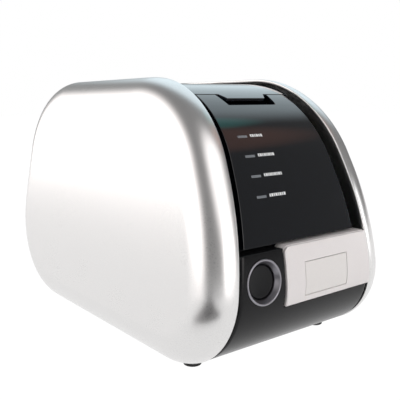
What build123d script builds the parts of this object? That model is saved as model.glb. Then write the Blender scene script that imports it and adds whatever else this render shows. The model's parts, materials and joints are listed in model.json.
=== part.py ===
from build123d import *
import os
from math import atan, cos, sin, sqrt

# Desktop reader for dental imaging plates.
# Frame: front faces -Y, +X is to the right of a person facing the front, +Z up.
# Origin: on the table, under the middle of the bounding box. All sizes in mm.

# ---- driving dimensions: overall shell ----
foot_height = 3.5            # table to underside of base pan
pan_drop = 2.0               # base pan stands this far below the side covers
cover_floor = foot_height + pan_drop
rim_half_width = 88.15       # half distance between cover rims, at cover_floor
side_lean = atan(0.1148)     # the rims lean inwards by this angle
cover_depth = 29.0           # side cover, rim to outer face
cover_edge_radius = 28.5     # rounding all round the outer face
cover_wall = 3.0

# side outline: distance from the front, height over cover_floor, corner radius
outline_corners = [
    (-7.6, 0.0, 66.0),       # bottom, front
    (4.4, 119.9, 262.7),     # bulge, front
    (61.2, 240.6, 119.0),    # top, front
    (349.6, 236.3, 88.3),    # top, rear
    (367.8, 115.5, 150.0),   # bulge, rear
    (375.6, 0.0, 93.1),      # bottom, rear
]

# ---- driving dimensions: skins between the covers ----
side_gap = 0.8               # skins to cover rims
part_gap = 0.3               # between neighbouring skins
skin = 2.5
panel_inset = 0.3            # lower front panel below the rim outline
lid_inset = 5.0
lid_thickness = 3.0
lid_side_inset = 2.5
pad_inset = 5.3
pad_side_inset = 9.5
frame_inset = 13.0           # carrier frame behind the raised front panel
rear_inset = 4.0
panel_top = 106.1            # top of the lower front panel
pad_bottom = 109.5
pan_front, pan_rear = -136.0, 115.0
lid_front, lid_tab_front = -94.0, -101.4
hinge_y = 20.0
barrel_radius = 8.0
rear_skin_bottom = 165.0     # lower edge of the top rear cover
tab_half_rear, tab_half_front = 27.5, 22.8
scoop_front, scoop_length, scoop_depth = -110.5, 16.0, 6.6
scoop_z = 221.0              # height of the hollow's front edge on the raised panel
scoop_wall = 2.0
scoop_half_rear, scoop_half_front = 31.0, 28.4
boss_radius, boss_hole, boss_hole_depth = 5.0, 1.7, 8.0
boss_places = [(-88.0, 22.0), (96.0, 22.0), (-40.0, 224.0), (108.0, 222.0)]   # y, z on a rim plane
screw_radius, screw_length, screw_head, screw_head_height = 1.6, 8.0, 3.2, 2.0
wall_depth = 28.0            # upright walls of the pan and deck below the outline
lug_x, lug_width, lug_radius, pin_radius, pin_length = 48.25, 5.5, 7.5, 2.5, 17.0

# ---- driving dimensions: fittings ----
slip = 0.05                  # radial clearance of a shaft or pin in its hole
air = 0.3                    # clearance between pieces that move past each other
button_x, button_z = -52.7, 82.7
ring_radius, ring_lip = 18.75, 0.8
ring_tube_radius, ring_length = 16.4, 14.0
cap_radius, cap_recess, cap_thickness = 14.1, 4.0, 6.0
stem_radius = 2.5

tray_left, tray_bottom, tray_top = -28.5, 57.5, 107.5
tray_proud, tray_skin, tray_corner = 1.5, 3.0, 6.0
tray_gap = 0.8
tray_ledge = 12.0            # inset of the ledge's rear edge
inlay_x, inlay_z, inlay_width, inlay_height, inlay_thickness = 20.3, 77.5, 53.2, 28.4, 1.2
box_left, box_right, box_rear = -27.0, 47.0, -42.0
box_bottom, box_top, box_wall = 62.0, 98.0, 2.0
liner_thickness = 1.5

lamp_x, lamp_width, lamp_height = -37.2, 10.9, 2.3
lamp_heights = [194.9, 179.3, 163.4, 147.2]
lamp_board_width, lamp_board_margin = 8.0, 8.0
foot_spread, foot_front, foot_rear, foot_radius = 78.0, -122.0, 96.0, 8.0
foot_plug = 3.0

# ---- driving dimensions: transport and optics ----
plate_left, plate_right, plate_thickness = -31.0, 51.0, 1.6
plate_inset, plate_rear, plate_top = 18.0, 110.0, 212.8
path_y, path_x, path_width = -55.0, 12.0, 60.0
roller_radius, nip_gap, shaft_radius = 8.0, 0.6, 3.0
sleeve_width, sleeve_pitch, sleeve_count = 14.0, 22.0, 3
upper_roller_z, lower_roller_z = 188.0, 132.0
bush_radius, bush_flange = 5.5, 1.2
pulley_radius, motor_pulley_radius, pulley_width, flange = 10.0, 6.0, 7.0, 1.5
belt_thickness, belt_width = 1.5, 5.4
bar_places = [(-112.0, 42.0), (98.0, 62.0), (98.0, 190.0), (-12.0, 204.0)]    # y, z
bar_radius = 4.0
guide_offset, guide_thickness = 2.5, 1.0
guide_bottom, guide_top = 108.0, 199.5
light_y, light_guide_z, tube_radius, tube_length = -45.0, 172.0, 8.0, 26.0
motor_y, motor_z, motor_size, motor_length = 16.0, 115.0, 42.0, 34.0
deck_z = 213.0               # underside of the feed deck
slot_width, slot_depth = 60.0, 5.0
bench_z, bench_front, bench_rear = 150.0, -30.0, 98.0
mirror_x, mirror_y, mirror_radius, mirror_height = 10.0, 50.0, 14.0, 6.0
mirror_motor_height, mirror_motor_radius = 8.0, 16.0
board_x, board_thickness = -50.0, 1.6
rear_fit_z = 142.0           # height of the sockets and fan on the rear panel
fan_x, fan_z, fan_size, fan_depth = 38.0, 138.5, 50.0, 15.0
fan_bore, fan_hub, fan_blades, fan_arm = 23.0, 11.0, 7, 3.0
plate_out, socket_air = 1.6, 0.2     # flange plates of the sockets, and air round their bodies
inlet_x, inlet_width, inlet_height, inlet_depth = -47.0, 27.0, 20.0, 24.0
rocker_x, rocker_width, rocker_height, rocker_depth = -14.0, 13.0, 19.0, 18.0
rocker_tilt, rocker_pivot_depth = 9.0, 4.0
usb_x, usb_z, usb_width, usb_height = -14.0, 118.0, 12.0, 11.0
vent_slot, vent_pitch, vent_half, vent_bottom, vent_rows = 2.6, 7.0, 40.0, 40.0, 6
fan_slot_pitch, fan_slot_rows = 5.0, 4
psu_left, psu_right, psu_front, psu_rear, psu_bottom, psu_height = -27.0, 47.0, 5.0, 112.0, 10.0, 36.0
leg_front, leg_rear = -100.0, 85.0   # feet of the frame plates on the pan

far = 400.0                  # larger than the object, for cutting shapes
through = 30.0               # cuts right through a skin
outline_shift = 0.0          # set below, so that the bounding box is centred


# ---- shared shapes ----
def inward(start, end):
    """Unit normal of an outline edge, pointing into the object."""
    run = Vector(end[0] - start[0], end[1] - start[1], 0).normalized()
    return Vector(run.Y, -run.X, 0)


def outline_face(inset, stretch=1.0):
    """Side outline, moved inwards by inset, in local (y, z) with z over cover_floor."""
    points = [(y, z * stretch) for y, z, _ in outline_corners]
    moved = []
    for index, point in enumerate(points):
        before = inward(points[index - 1], point)
        after = inward(point, points[(index + 1) % len(points)])
        moved.append(Vector(*point) + (before + after) * (inset / (1 + before.dot(after))))
    radii = [radius - inset for _, _, radius in outline_corners]
    return Pos(outline_shift, 0, 0) * make_face(FilletPolyline(*moved, radius=radii, close=True))


rim_box = outline_face(0).bounding_box()
outline_shift = (tray_proud - rim_box.min.X - rim_box.max.X) / 2


def core(inset):
    """Everything inside the outline moved inwards by inset, right across the object."""
    face = Plane.YZ * Pos(0, cover_floor, 0) * outline_face(inset)
    return extrude(face, far / 2, both=True)


def rim_half(z):
    return rim_half_width - (z - cover_floor) * sin(side_lean) / cos(side_lean)


def wedge(inset):
    """Space between the two leaning rim planes, each moved inwards by inset."""
    cut = inset / cos(side_lean)
    low, high = -50.0, 300.0
    points = [(-rim_half(low) + cut, low), (rim_half(low) - cut, low),
              (rim_half(high) - cut, high), (-rim_half(high) + cut, high)]
    face = Plane.XZ * make_face(Polyline(*points, close=True))
    return extrude(face, far, both=True)


def block(x=(-far, far), y=(-far, far), z=(-far, far)):
    return Pos((x[0] + x[1]) / 2, (y[0] + y[1]) / 2, (z[0] + z[1]) / 2) * Box(
        x[1] - x[0], y[1] - y[0], z[1] - z[0])


def band(outer, inner, side):
    """Skin between two insets of the outline, between the rims less side."""
    return (core(outer) - core(inner)) & wedge(side)


def surface_plane(z, inset, rear=False):
    """Plane on the outline surface at height z: local z outwards, local x along X."""
    step = 0.5
    face = Plane.YZ * Pos(0, cover_floor, 0) * outline_face(inset)
    ends = []
    for height in (z - step, z, z + step):
        chord = Edge.make_line((0, -far, height), (0, far, height)) & face
        ends.append(chord.vertices().sort_by(Axis.Y)[-1 if rear else 0].center())
    rise = (ends[2] - ends[0]).normalized()
    out = rise.cross(Vector(-1, 0, 0) if rear else Vector(1, 0, 0))
    out = out if (out.Y > 0) == rear else out * -1
    return Plane(origin=ends[1], x_dir=(-1, 0, 0) if rear else (1, 0, 0), z_dir=out)


def rod(radius, x0, x1, y, z):
    """Cylinder along X."""
    return Pos((x0 + x1) / 2, y, z) * Rot(0, 90, 0) * Cylinder(radius, x1 - x0)


def post(radius, x, y, z0, z1):
    return Pos(x, y, (z0 + z1) / 2) * Cylinder(radius, z1 - z0)


def rounded_block(width, height, depth, radius):
    """Block with rounded upright edges, its front face on the local plane, going down."""
    return extrude(RectangleRounded(width, height, radius), -depth)


# ---- side covers ----
rim_plane = Plane(origin=(rim_half_width, 0, cover_floor), x_dir=(0, 1, 0),
                  z_dir=(cos(side_lean), 0, sin(side_lean)))


def rim_place(y, z):
    return rim_plane * Pos(y, (z - cover_floor) / cos(side_lean), 0)


def dish(inset, depth, radius):
    face = rim_plane * outline_face(inset, 1 / cos(side_lean))
    solid = extrude(face, depth)
    outer = solid.faces().sort_by(Axis((0, 0, 0), rim_plane.z_dir))[-1]
    return fillet(outer.edges(), radius)


def side_cover():
    inner = dish(cover_wall, cover_depth - cover_wall, cover_edge_radius - cover_wall)
    cover = dish(0, cover_depth, cover_edge_radius) - inner
    for y, z in boss_places:
        place = rim_place(y, z)
        reach = cover_depth - cover_wall / 2
        boss = place * Pos(0, 0, reach / 2) * Cylinder(boss_radius, reach)
        tip = place * Pos(0, 0, -side_gap / 2) * Cylinder(boss_radius, side_gap)
        hole = place * Pos(0, 0, boss_hole_depth / 2 - side_gap) * Cylinder(boss_hole, boss_hole_depth + 4)
        cover += (boss & dish(0.5, cover_depth - 0.5, cover_edge_radius - 0.5)) + tip
        cover -= hole
    return cover


def cover_screw(y, z):
    place = rim_place(y, z) * Pos(0, 0, -side_gap - skin)
    shank = place * Pos(0, 0, screw_length / 2) * Cylinder(screw_radius, screw_length)
    return shank + place * Pos(0, 0, -screw_head_height / 2) * Cylinder(screw_head, screw_head_height)


def screw_holes():
    """Clearance holes for all side cover screws, both sides."""
    holes = []
    for y, z in boss_places:
        hole = rim_place(y, z) * Cylinder(boss_hole, 12)
        holes += [hole, mirror(hole, Plane.YZ)]
    return holes


def flange_walls(outer, inner):
    """Upright walls just inside both rims."""
    return (wedge(side_gap) - wedge(side_gap + skin)) & (core(outer) - core(inner))


# ---- base ----
def base_pan():
    floor = band(-pan_drop, skin - pan_drop, side_gap) & block(y=(pan_front, pan_rear), z=(-9, 30))
    walls = flange_walls(skin - pan_drop, wall_depth) & block(y=(-100, pan_rear - 5), z=(0, 34))
    pan = floor + walls
    inner_floor = foot_height + skin
    for x in (psu_left + 8, psu_right - 8):
        for y in (psu_front + 8, psu_rear - 8):
            pan += post(4, x, y, inner_floor - 1, psu_bottom)
    for hole in screw_holes():
        pan -= hole
    for x, y in foot_places():
        pan -= post(foot_plug + slip, x, y, 0, 20)
    return pan


def foot_places():
    return [(x, y) for x in (-foot_spread, foot_spread) for y in (foot_front, foot_rear)]


def rubber_feet():
    """Round feet whose tops follow the underside of the pan, each held by a plug."""
    feet = []
    for x, y in foot_places():
        pad = fillet(post(foot_radius, x, y, 0, foot_height + 4).edges().group_by(Axis.Z)[0], 0.8)
        plug = post(foot_plug, x, y, foot_height - 1, foot_height + skin + 1)
        feet.append((pad - core(-pan_drop)) + plug)
    return Compound(children=feet)


# ---- front skins ----
def tray_shape(shrink, outer, inner):
    """Room of the tray front between two insets of the outline, with a rounded corner."""
    x0, z0, z1 = tray_left + shrink, tray_bottom, tray_top - shrink
    radius = tray_corner - shrink
    front = extrude(Plane.XZ * Pos((x0 + far) / 2, (z0 + z1) / 2, 0) * Rectangle(far - x0, z1 - z0),
                    far)
    corner = front.edges().filter_by(Axis.Y).group_by(Axis.X)[0].sort_by(Axis.Z)[-1]
    return fillet(corner, radius) & band(outer, inner, side_gap)


def button_place(z=0.0):
    return surface_plane(button_z, panel_inset) * Pos(button_x, 0, z)


def lower_front_panel():
    region = block(y=(-far, pan_front - part_gap), z=(-9, panel_top))
    panel = band(panel_inset, panel_inset + skin, side_gap) & region
    ledge = band(panel_inset, frame_inset + skin, side_gap)
    ledge &= block(x=(-far, tray_left - tray_gap), y=(-far, -100), z=(panel_top - skin, panel_top))
    panel += ledge
    panel -= block(x=(tray_left - tray_gap, far), z=(tray_bottom - tray_gap, far))
    return panel - button_place() * Cylinder(ring_tube_radius + 0.1, 20)


def upper_front_frame():
    region = block(y=(-far, lid_front - part_gap), z=(panel_top + 0.2, far))
    frame = band(frame_inset, frame_inset + skin, side_gap) & region
    # end walls close the channels beside the raised panel, under the lid's front edge
    ends = band(lid_inset + lid_thickness + air, frame_inset + skin, side_gap)
    ends &= block(y=(lid_front - part_gap - 2, lid_front - part_gap), z=(panel_top, far))
    frame += ends - wedge(pad_side_inset - part_gap)
    for z in lamp_heights:
        frame -= lamp_place(z) * Box(lamp_width + 0.4, lamp_height + 0.4, 60)
    return frame - scoop(scoop_wall + part_gap)


def lamp_place(z):
    return surface_plane(z, pad_inset) * Pos(lamp_x, 0, 0)


def scoop(grow):
    """Finger hollow under the lid tab; its floor slopes down towards the lid."""
    plane = surface_plane(scoop_z, pad_inset)
    front = plane.to_local_coords(Vector(0, scoop_front, scoop_z)).Y - grow
    rear = front + scoop_length + 2 * grow
    floor = Polyline((front, 2), (rear, 2), (rear, -scoop_depth - grow), (rear - 5, -scoop_depth - grow),
                     (front, -grow * 0.6), close=True)
    profile = plane * Plane.YZ * make_face(floor)
    body = extrude(profile, scoop_half_rear + grow, both=True)
    plan = Polyline((-scoop_half_front - grow, front), (scoop_half_front + grow, front),
                    (scoop_half_rear + grow, rear), (-scoop_half_rear - grow, rear), close=True)
    return body & extrude(plane * make_face(plan), 40, both=True)


def front_pad():
    region = block(y=(-far, lid_front - part_gap), z=(pad_bottom, far))
    inner_region = block(y=(-far, lid_front - part_gap - skin), z=(pad_bottom + skin, far))
    pad = band(pad_inset, frame_inset - part_gap, pad_side_inset) & region
    hollow = band(pad_inset + skin, frame_inset + 5, pad_side_inset + skin) & inner_region
    outer = scoop(scoop_wall) & (band(pad_inset, frame_inset - part_gap, pad_side_inset) & region)
    pad = (pad - hollow) + outer - scoop(0)
    pad -= lid_tab_room()
    for z in lamp_heights:
        pad -= lamp_place(z) * Box(lamp_width + 0.2, lamp_height + 0.2, 30)
    return pad


def tab_outline(grow):
    """Trapezoid of the lid's finger tab seen from above."""
    front, rear = lid_tab_front - grow, lid_front + 2
    return make_face(Polyline((-tab_half_front - grow, front), (tab_half_front + grow, front),
                              (tab_half_rear + grow, rear), (-tab_half_rear - grow, rear), close=True))


def lid_tab_room():
    return extrude(tab_outline(part_gap + 0.3), far) - core(lid_inset + lid_thickness + 1.0)


def status_lenses():
    depth = frame_inset + skin + 1.0 - pad_inset
    lenses = [lamp_place(z) * Pos(0, 0, -depth / 2 + 0.15) * Box(lamp_width, lamp_height, depth + 0.3)
              for z in lamp_heights]
    return Compound(children=lenses)


def lamp_board():
    """Small circuit board behind the status lenses, on two spacers."""
    middle = (lamp_heights[1] + lamp_heights[2]) / 2
    depth = frame_inset + skin + 3.0 - pad_inset
    place = surface_plane(middle, pad_inset) * Pos(lamp_x, 0, -depth)
    height = lamp_heights[0] - lamp_heights[-1] + 2 * lamp_board_margin
    board = place * Pos(0, 0, -2.0) * Box(lamp_board_width, height, 1.6)
    for v in (-14, 14):
        board += (place * Pos(0, v, 2) * Cylinder(2, 8)) & core(frame_inset + skin + 0.1)
    return board


# ---- lid and top ----
def hinge_z():
    top = Edge.make_line((0, hinge_y, 0), (0, hinge_y, far)) & (
        Plane.YZ * Pos(0, cover_floor, 0) * outline_face(lid_inset))
    return top.vertices().sort_by(Axis.Z)[-1].Z - barrel_radius


def hinge_slots(grow):
    slots = []
    for side in (-1, 1):
        half = lug_width / 2 + grow
        x = side * lug_x
        slots.append(block(x=(x - half, x + half), y=(hinge_y - 12, hinge_y + 12),
                           z=(hinge_z() - 12, hinge_z() + 12)))
    return slots


def lid():
    skin_band = band(lid_inset, lid_inset + lid_thickness, lid_side_inset)
    top = skin_band & block(y=(lid_front, hinge_y), z=(200, far))
    tab = skin_band & block(y=(-far, lid_front + 1), z=(200, far)) & extrude(tab_outline(0), far)
    half = rim_half(hinge_z()) - lid_side_inset - 0.5
    barrel = rod(barrel_radius, -half, half, hinge_y, hinge_z())
    solid = top + tab + barrel
    for slot in hinge_slots(0.5):
        solid -= slot
    return solid - rod(pin_radius + slip, -far, far, hinge_y, hinge_z())


def lid_hinge_pins():
    pins = [rod(pin_radius, side * lug_x - pin_length / 2, side * lug_x + pin_length / 2,
                hinge_y, hinge_z()) for side in (-1, 1)]
    return Compound(children=pins)


def top_deck():
    inner = core(frame_inset + skin + 0.2) & wedge(side_gap)
    floor = inner & block(y=(-130, 34), z=(deck_z, deck_z + skin))
    walls = flange_walls(lid_inset + lid_thickness + 1.5, 34)
    walls &= block(y=(lid_front + 1, hinge_y - barrel_radius - 1.0), z=(deck_z, far))
    deck = floor + walls
    for side in (-1, 1):
        x = (side * lug_x - lug_width / 2, side * lug_x + lug_width / 2)
        deck += rod(lug_radius, x[0], x[1], hinge_y, hinge_z())
        deck += block(x=x, y=(hinge_y - 5, hinge_y + 7), z=(deck_z + 1, hinge_z()))
    deck -= rod(pin_radius + slip, -far, far, hinge_y, hinge_z())
    chute = block(x=(path_x - slot_width / 2 - 2, path_x + slot_width / 2 + 2),
                  y=(path_y - slot_depth / 2 - 2, path_y + slot_depth / 2 + 2), z=(200, deck_z + 1))
    deck += chute
    slot = block(x=(path_x - slot_width / 2, path_x + slot_width / 2),
                 y=(path_y - slot_depth / 2, path_y + slot_depth / 2), z=(190, 230))
    deck -= slot
    for hole in screw_holes():
        deck -= hole
    return deck


def lid_seal():
    """Foam strips between the feed bay walls and the lid."""
    top = lid_inset + lid_thickness
    strips = flange_walls(top + 0.2, top + 1.5)
    return strips & block(y=(lid_front + 3, hinge_y - barrel_radius - 2.0), z=(deck_z, far))


def lid_switch():
    body = block(x=(42, 55), y=(-14, -8), z=(deck_z + skin, deck_z + skin + 9))
    lever = block(x=(44, 46), y=(-13, -9), z=(deck_z + skin + 8.5, deck_z + skin + 12))
    return body + lever


def top_rear_cover():
    start = hinge_y + barrel_radius + 0.6
    region = block(y=(start, far), z=(rear_skin_bottom, far))
    cover = band(lid_inset, lid_inset + skin, side_gap) & region
    walls = flange_walls(lid_inset + skin, 34) & block(y=(34.3, 150), z=(deck_z - 3, far))
    cover += walls & core(lid_inset + 1)
    for hole in screw_holes():
        cover -= hole
    return cover


# ---- rear panel and its fittings ----
def rear_place(x, z=None, out=0.0):
    """Place on the rear panel: local x runs towards -X."""
    plane = surface_plane(rear_fit_z, rear_inset, rear=True)
    up = 0.0 if z is None else z - rear_fit_z
    return plane * Pos(-x, up, out)


def rear_panel():
    region = block(y=(pan_rear + part_gap, far), z=(-9, rear_skin_bottom - part_gap))
    panel = band(rear_inset, rear_inset + skin, side_gap) & region
    for place, width, height in ((rear_place(inlet_x), inlet_width, inlet_height),
                                 (rear_place(rocker_x), rocker_width, rocker_height),
                                 (rear_place(usb_x, usb_z), usb_width, usb_height)):
        panel -= place * Box(width + 2 * socket_air, height + 2 * socket_air, through)
    for row in range(-fan_slot_rows, fan_slot_rows + 1):
        up = row * fan_slot_pitch
        half = sqrt((fan_size / 2 - 3) ** 2 - up ** 2)
        panel -= rear_place(fan_x, fan_z + up) * Box(2 * half, vent_slot, through)
    for row in range(vent_rows):
        low = vent_bottom + row * vent_pitch
        panel -= block(x=(-vent_half, vent_half), y=(pan_rear + 20, far), z=(low, low + vent_slot))
    return panel


def power_inlet():
    body = rear_place(inlet_x) * Pos(0, 0, -inlet_depth / 2) * Box(
        inlet_width, inlet_height, inlet_depth)
    plate = rear_place(inlet_x, out=plate_out) * rounded_block(
        inlet_width + 5, inlet_height + 5, plate_out, 2)
    cavity = rear_place(inlet_x, out=3) * rounded_block(inlet_width - 4, inlet_height - 5, 20, 2)
    socket = body + plate - cavity
    for dx, dy in ((-7, -1), (0, 2.5), (7, -1)):
        socket += rear_place(inlet_x) * Pos(dx, dy, -15.5) * Box(2, 4, 13)
    return socket


def rocker_switch_body():
    body = rear_place(rocker_x) * Pos(0, 0, -rocker_depth / 2) * Box(
        rocker_width, rocker_height, rocker_depth)
    plate = rear_place(rocker_x, out=plate_out) * rounded_block(
        rocker_width + 4, rocker_height + 4, plate_out, 1.5)
    cavity = rear_place(rocker_x, out=3) * rounded_block(rocker_width - 2.4, rocker_height - 2.4, 14, 0.5)
    return body + plate - cavity


def rocker_paddle():
    """Curved paddle, pressed at its upper end at rest, turning on pips."""
    width, length = rocker_width - 3.2, rocker_height - 5.2
    place = rear_place(rocker_x) * Pos(0, 0, -rocker_pivot_depth) * Rot(-rocker_tilt, 0, 0)
    profile = Polyline((-length / 2, 5.0), (0, 3.4), (length / 2, 5.0), (3, -4), (-3, -4), close=True)
    paddle = place * extrude(Plane.YZ * make_face(profile), width / 2, both=True)
    return paddle


def usb_socket():
    shell = rear_place(usb_x, usb_z) * Pos(0, 0, -8) * Box(usb_width, usb_height, 17)
    cavity = rear_place(usb_x, usb_z, out=3) * rounded_block(usb_width - 2, usb_height - 2, 14, 0.5)
    tongue = rear_place(usb_x, usb_z) * Pos(0, 0.5, -8) * Box(6, 3, 14)
    plate = rear_place(usb_x, usb_z) * Pos(0, 0, -17.3) * Box(usb_width + 12, usb_height + 8, 1.6)
    leg = rear_place(usb_x, usb_z) * Pos(-usb_width / 2 - 5, 0, -10.2) * Box(2, usb_height, 13)
    return (shell - cavity) + tongue + plate + leg


def fan_place(depth):
    """Place on the fan axis, depth behind the rear panel's inner face."""
    return rear_place(fan_x, fan_z) * Pos(0, 0, -skin - 0.5 - depth)


def fan_frame():
    frame = fan_place(0) * rounded_block(fan_size, fan_size, fan_depth, 4)
    frame -= fan_place(-1) * extrude(Circle(fan_bore), -fan_depth - 2)
    hub = fan_place(fan_depth - 2) * extrude(Circle(fan_hub), -2)
    for turn in (45, 135):
        arm = fan_place(fan_depth - 2) * Rot(0, 0, turn) * Pos(0, 0, -1) * Box(
            2 * fan_bore + 2, fan_arm, 2)
        hub += arm
    return frame + hub


def fan_rotor():
    rotor = fan_place(1.5) * extrude(Circle(fan_hub), -(fan_depth - 4.5))
    blade = Pos((fan_hub + fan_bore) / 2 - 0.5, 0, -(fan_depth - 4.5) / 2) * Rot(35, 0, 0) * Box(
        fan_bore - fan_hub - 0.5, 1.4, 9)
    for index in range(fan_blades):
        rotor += fan_place(1.5) * Rot(0, 0, index * 360 / fan_blades) * blade
    return rotor


# ---- power button ----
def button_ring():
    profile = Polyline((ring_radius, 0), (ring_radius - 0.8, ring_lip), (ring_radius - 2.0, ring_lip),
                       (cap_radius + air, -cap_recess), (cap_radius + air, -ring_length),
                       (ring_tube_radius, -ring_length), (ring_tube_radius, 0), close=True)
    ring = button_place() * revolve(Plane.XZ * make_face(profile), Axis.Z)
    return ring - (core(panel_inset + 0.02) & button_place() * Pos(0, 0, -2) * (
        Cylinder(30, 6) - Cylinder(ring_tube_radius, 8)))


def power_button():
    face = Pos(0, 0, -cap_recess - cap_thickness / 2) * Cylinder(cap_radius, cap_thickness)
    face = chamfer(face.edges().group_by(Axis.Z)[-1], 0.8)
    stem = Pos(0, 0, -cap_recess - cap_thickness - 3) * Cylinder(stem_radius, 6)
    return button_place() * (face + stem)


def button_switch():
    disc = Pos(0, 0, -ring_length - 1.1) * Cylinder(ring_tube_radius, 2)
    body = Pos(0, 0, -ring_length - 9) * Box(15, 15, 14)
    hole = Pos(0, 0, -ring_length - 2) * Cylinder(stem_radius + air, 8)
    return button_place() * (disc + body - hole)


# ---- tray ----
def tray_front():
    outer = tray_shape(0, -tray_proud, tray_ledge)
    inner = tray_shape(tray_skin - 0.5, tray_skin - tray_proud, tray_ledge + 5)
    front = outer - (inner + block(z=(-9, box_top + 1.5)) & core(tray_skin - tray_proud))
    pocket = inlay_block(0.35, inlay_thickness + 0.1)
    return front - pocket


def inlay_block(grow, depth):
    x = (inlay_x - inlay_width / 2 - grow, inlay_x + inlay_width / 2 + grow)
    z = (inlay_z - inlay_height / 2 - grow, inlay_z + inlay_height / 2 + grow)
    return (core(-tray_proud - 1) - core(-tray_proud + depth)) & block(x=x, y=(-far, 0), z=z)


def tray_inlay():
    return inlay_block(0, inlay_thickness) & core(-tray_proud + 0.1)


def tray_box():
    depth = tray_skin - tray_proud + 0.1
    outer = core(depth) & block(x=(box_left, box_right), y=(-far, box_rear), z=(box_bottom, box_top))
    inner = core(depth + box_wall) & block(x=(box_left + box_wall, box_right - box_wall),
                                           y=(-far, box_rear - box_wall),
                                           z=(box_bottom + box_wall, far))
    return outer - inner


def tray_liner():
    depth = tray_skin - tray_proud + 0.1 + box_wall + 1
    return core(depth) & block(x=(box_left + box_wall + 0.5, box_right - box_wall - 0.5),
                               y=(-far, box_rear - box_wall - 0.5),
                               z=(box_bottom + box_wall, box_bottom + box_wall + liner_thickness))


def tray_rails():
    """Angle rails under both edges of the tray box, on the frame plates."""
    rails = []
    top = box_bottom - air
    for wall, shelf in ((plate_left, plate_left + 9), (plate_right, plate_right - 9)):
        inward = 1 if shelf > wall else -1
        shelf_x = sorted((wall, shelf))
        wall_x = sorted((wall, wall + inward * 1.5))
        rail = block(x=shelf_x, y=(-150, box_rear + 10), z=(top - 2, top))
        rail += block(x=wall_x, y=(-150, box_rear + 10), z=(top - 10, top))
        rails.append(rail & core(plate_inset - 1))
    return Compound(children=rails)


# ---- transport frame ----
drive_y = path_y + roller_radius + nip_gap / 2
idler_y = path_y - roller_radius - nip_gap / 2
shaft_places = [(drive_y, upper_roller_z), (drive_y, lower_roller_z),
                (idler_y, upper_roller_z), (idler_y, lower_roller_z)]


def frame_plate(x0, x1):
    plate = core(plate_inset) & block(x=(x0, x1), y=(-150, plate_rear), z=(30, plate_top))
    plate += block(x=(x0, x1), y=(leg_front, leg_rear), z=(foot_height + skin + 0.2, 40))
    for y, z in shaft_places:
        plate -= rod(bush_radius + 0.1, x0 - 1, x1 + 1, y, z)
    for low, high in ((20.0, 70.0), (75.0, 120.0)):
        window = block(x=(x0 - 1, x1 + 1), y=(40, 88), z=(low, high))
        plate -= fillet(window.edges().filter_by(Axis.X), 6)
    return plate


def left_frame_plate():
    plate = frame_plate(plate_left - plate_thickness, plate_left)
    return plate - rod(tube_radius + 0.3, plate_left - 5, plate_left + 5, light_y, light_guide_z)


def right_frame_plate():
    plate = frame_plate(plate_right, plate_right + plate_thickness)
    return plate - rod(11.2, plate_right - 5, plate_right + 5, motor_y, motor_z)


def cross_bars():
    return Compound(children=[rod(bar_radius, plate_left, plate_right, y, z) for y, z in bar_places])


def sleeve_centres():
    first = path_x - sleeve_pitch * (sleeve_count - 1) / 2
    return [first + sleeve_pitch * index for index in range(sleeve_count)]


def guide(y0, y1):
    """Sheet that keeps the imaging plate in its path, with windows for the rollers."""
    sheet = block(x=(plate_left, plate_right), y=(y0, y1), z=(guide_bottom, guide_top))
    for x in sleeve_centres():
        for z in (upper_roller_z, lower_roller_z):
            half = sleeve_width / 2 + 1
            sheet -= block(x=(x - half, x + half), y=(y0 - 1, y1 + 1), z=(z - 9, z + 9))
    return sheet


def front_guide():
    return guide(path_y - guide_offset - guide_thickness, path_y - guide_offset)


def rear_guide():
    sheet = guide(path_y + guide_offset, path_y + guide_offset + guide_thickness)
    half = path_width / 2
    sheet -= block(x=(path_x - half, path_x + half), y=(-60, -40), z=(160, 169))
    return sheet - block(x=(path_x - half, path_x + half), y=(-60, -40), z=(112, 119))


def shaft(y, z, right_end):
    return rod(shaft_radius, plate_left - 3.5, right_end, y, z)


def sleeves(y, z):
    tubes = [rod(roller_radius, x - sleeve_width / 2, x + sleeve_width / 2, y, z)
             - rod(shaft_radius + slip, x - far, x + far, y, z) for x in sleeve_centres()]
    return Compound(children=tubes)


def shaft_bushes():
    bushes = []
    for y, z in shaft_places:
        for inner, outer in ((plate_left, plate_left - plate_thickness),
                             (plate_right, plate_right + plate_thickness)):
            low, high = sorted((inner, outer))
            rim_low, rim_high = (low - bush_flange, low) if outer < inner else (high, high + bush_flange)
            bush = rod(bush_radius, low, high, y, z)
            bush += rod(bush_radius + 1.2, rim_low, rim_high, y, z)
            bushes.append(bush - rod(shaft_radius + slip, low - 5, high + 5, y, z))
    return Compound(children=bushes)


pulley_x = plate_right + plate_thickness + 2.0


def pulley(radius, y, z, hub_radius):
    body = rod(radius, pulley_x, pulley_x + pulley_width, y, z)
    body += rod(radius + flange, pulley_x, pulley_x + 0.7, y, z)
    body += rod(radius + flange, pulley_x + pulley_width - 0.7, pulley_x + pulley_width, y, z)
    return body - rod(hub_radius + slip, pulley_x - 1, pulley_x + pulley_width + 1, y, z)


def drive_belt():
    circles = []
    for y, z, radius in ((drive_y, upper_roller_z, pulley_radius),
                         (drive_y, lower_roller_z, pulley_radius),
                         (motor_y, motor_z, motor_pulley_radius)):
        circles.append(Pos(y, z, 0) * Circle(radius + air))
    loop = make_hull([edge for circle in circles for edge in circle.edges()])
    ring = offset(loop, belt_thickness) - loop
    middle = pulley_x + pulley_width / 2
    return Pos(middle, 0, 0) * extrude(Plane.YZ * ring, belt_width / 2, both=True)


def stepper_motor():
    half = motor_size / 2
    body = block(x=(plate_right - motor_length, plate_right), y=(motor_y - half, motor_y + half),
                 z=(motor_z - half, motor_z + half))
    body = chamfer(body.edges().filter_by(Axis.X), 3)
    body += rod(11, plate_right - 1, plate_right + plate_thickness, motor_y, motor_z)
    return body - rod(shaft_radius + slip, plate_right - 12, plate_right + 9, motor_y, motor_z)


def motor_shaft():
    return rod(shaft_radius, plate_right - 11, pulley_x + pulley_width, motor_y, motor_z)


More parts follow.
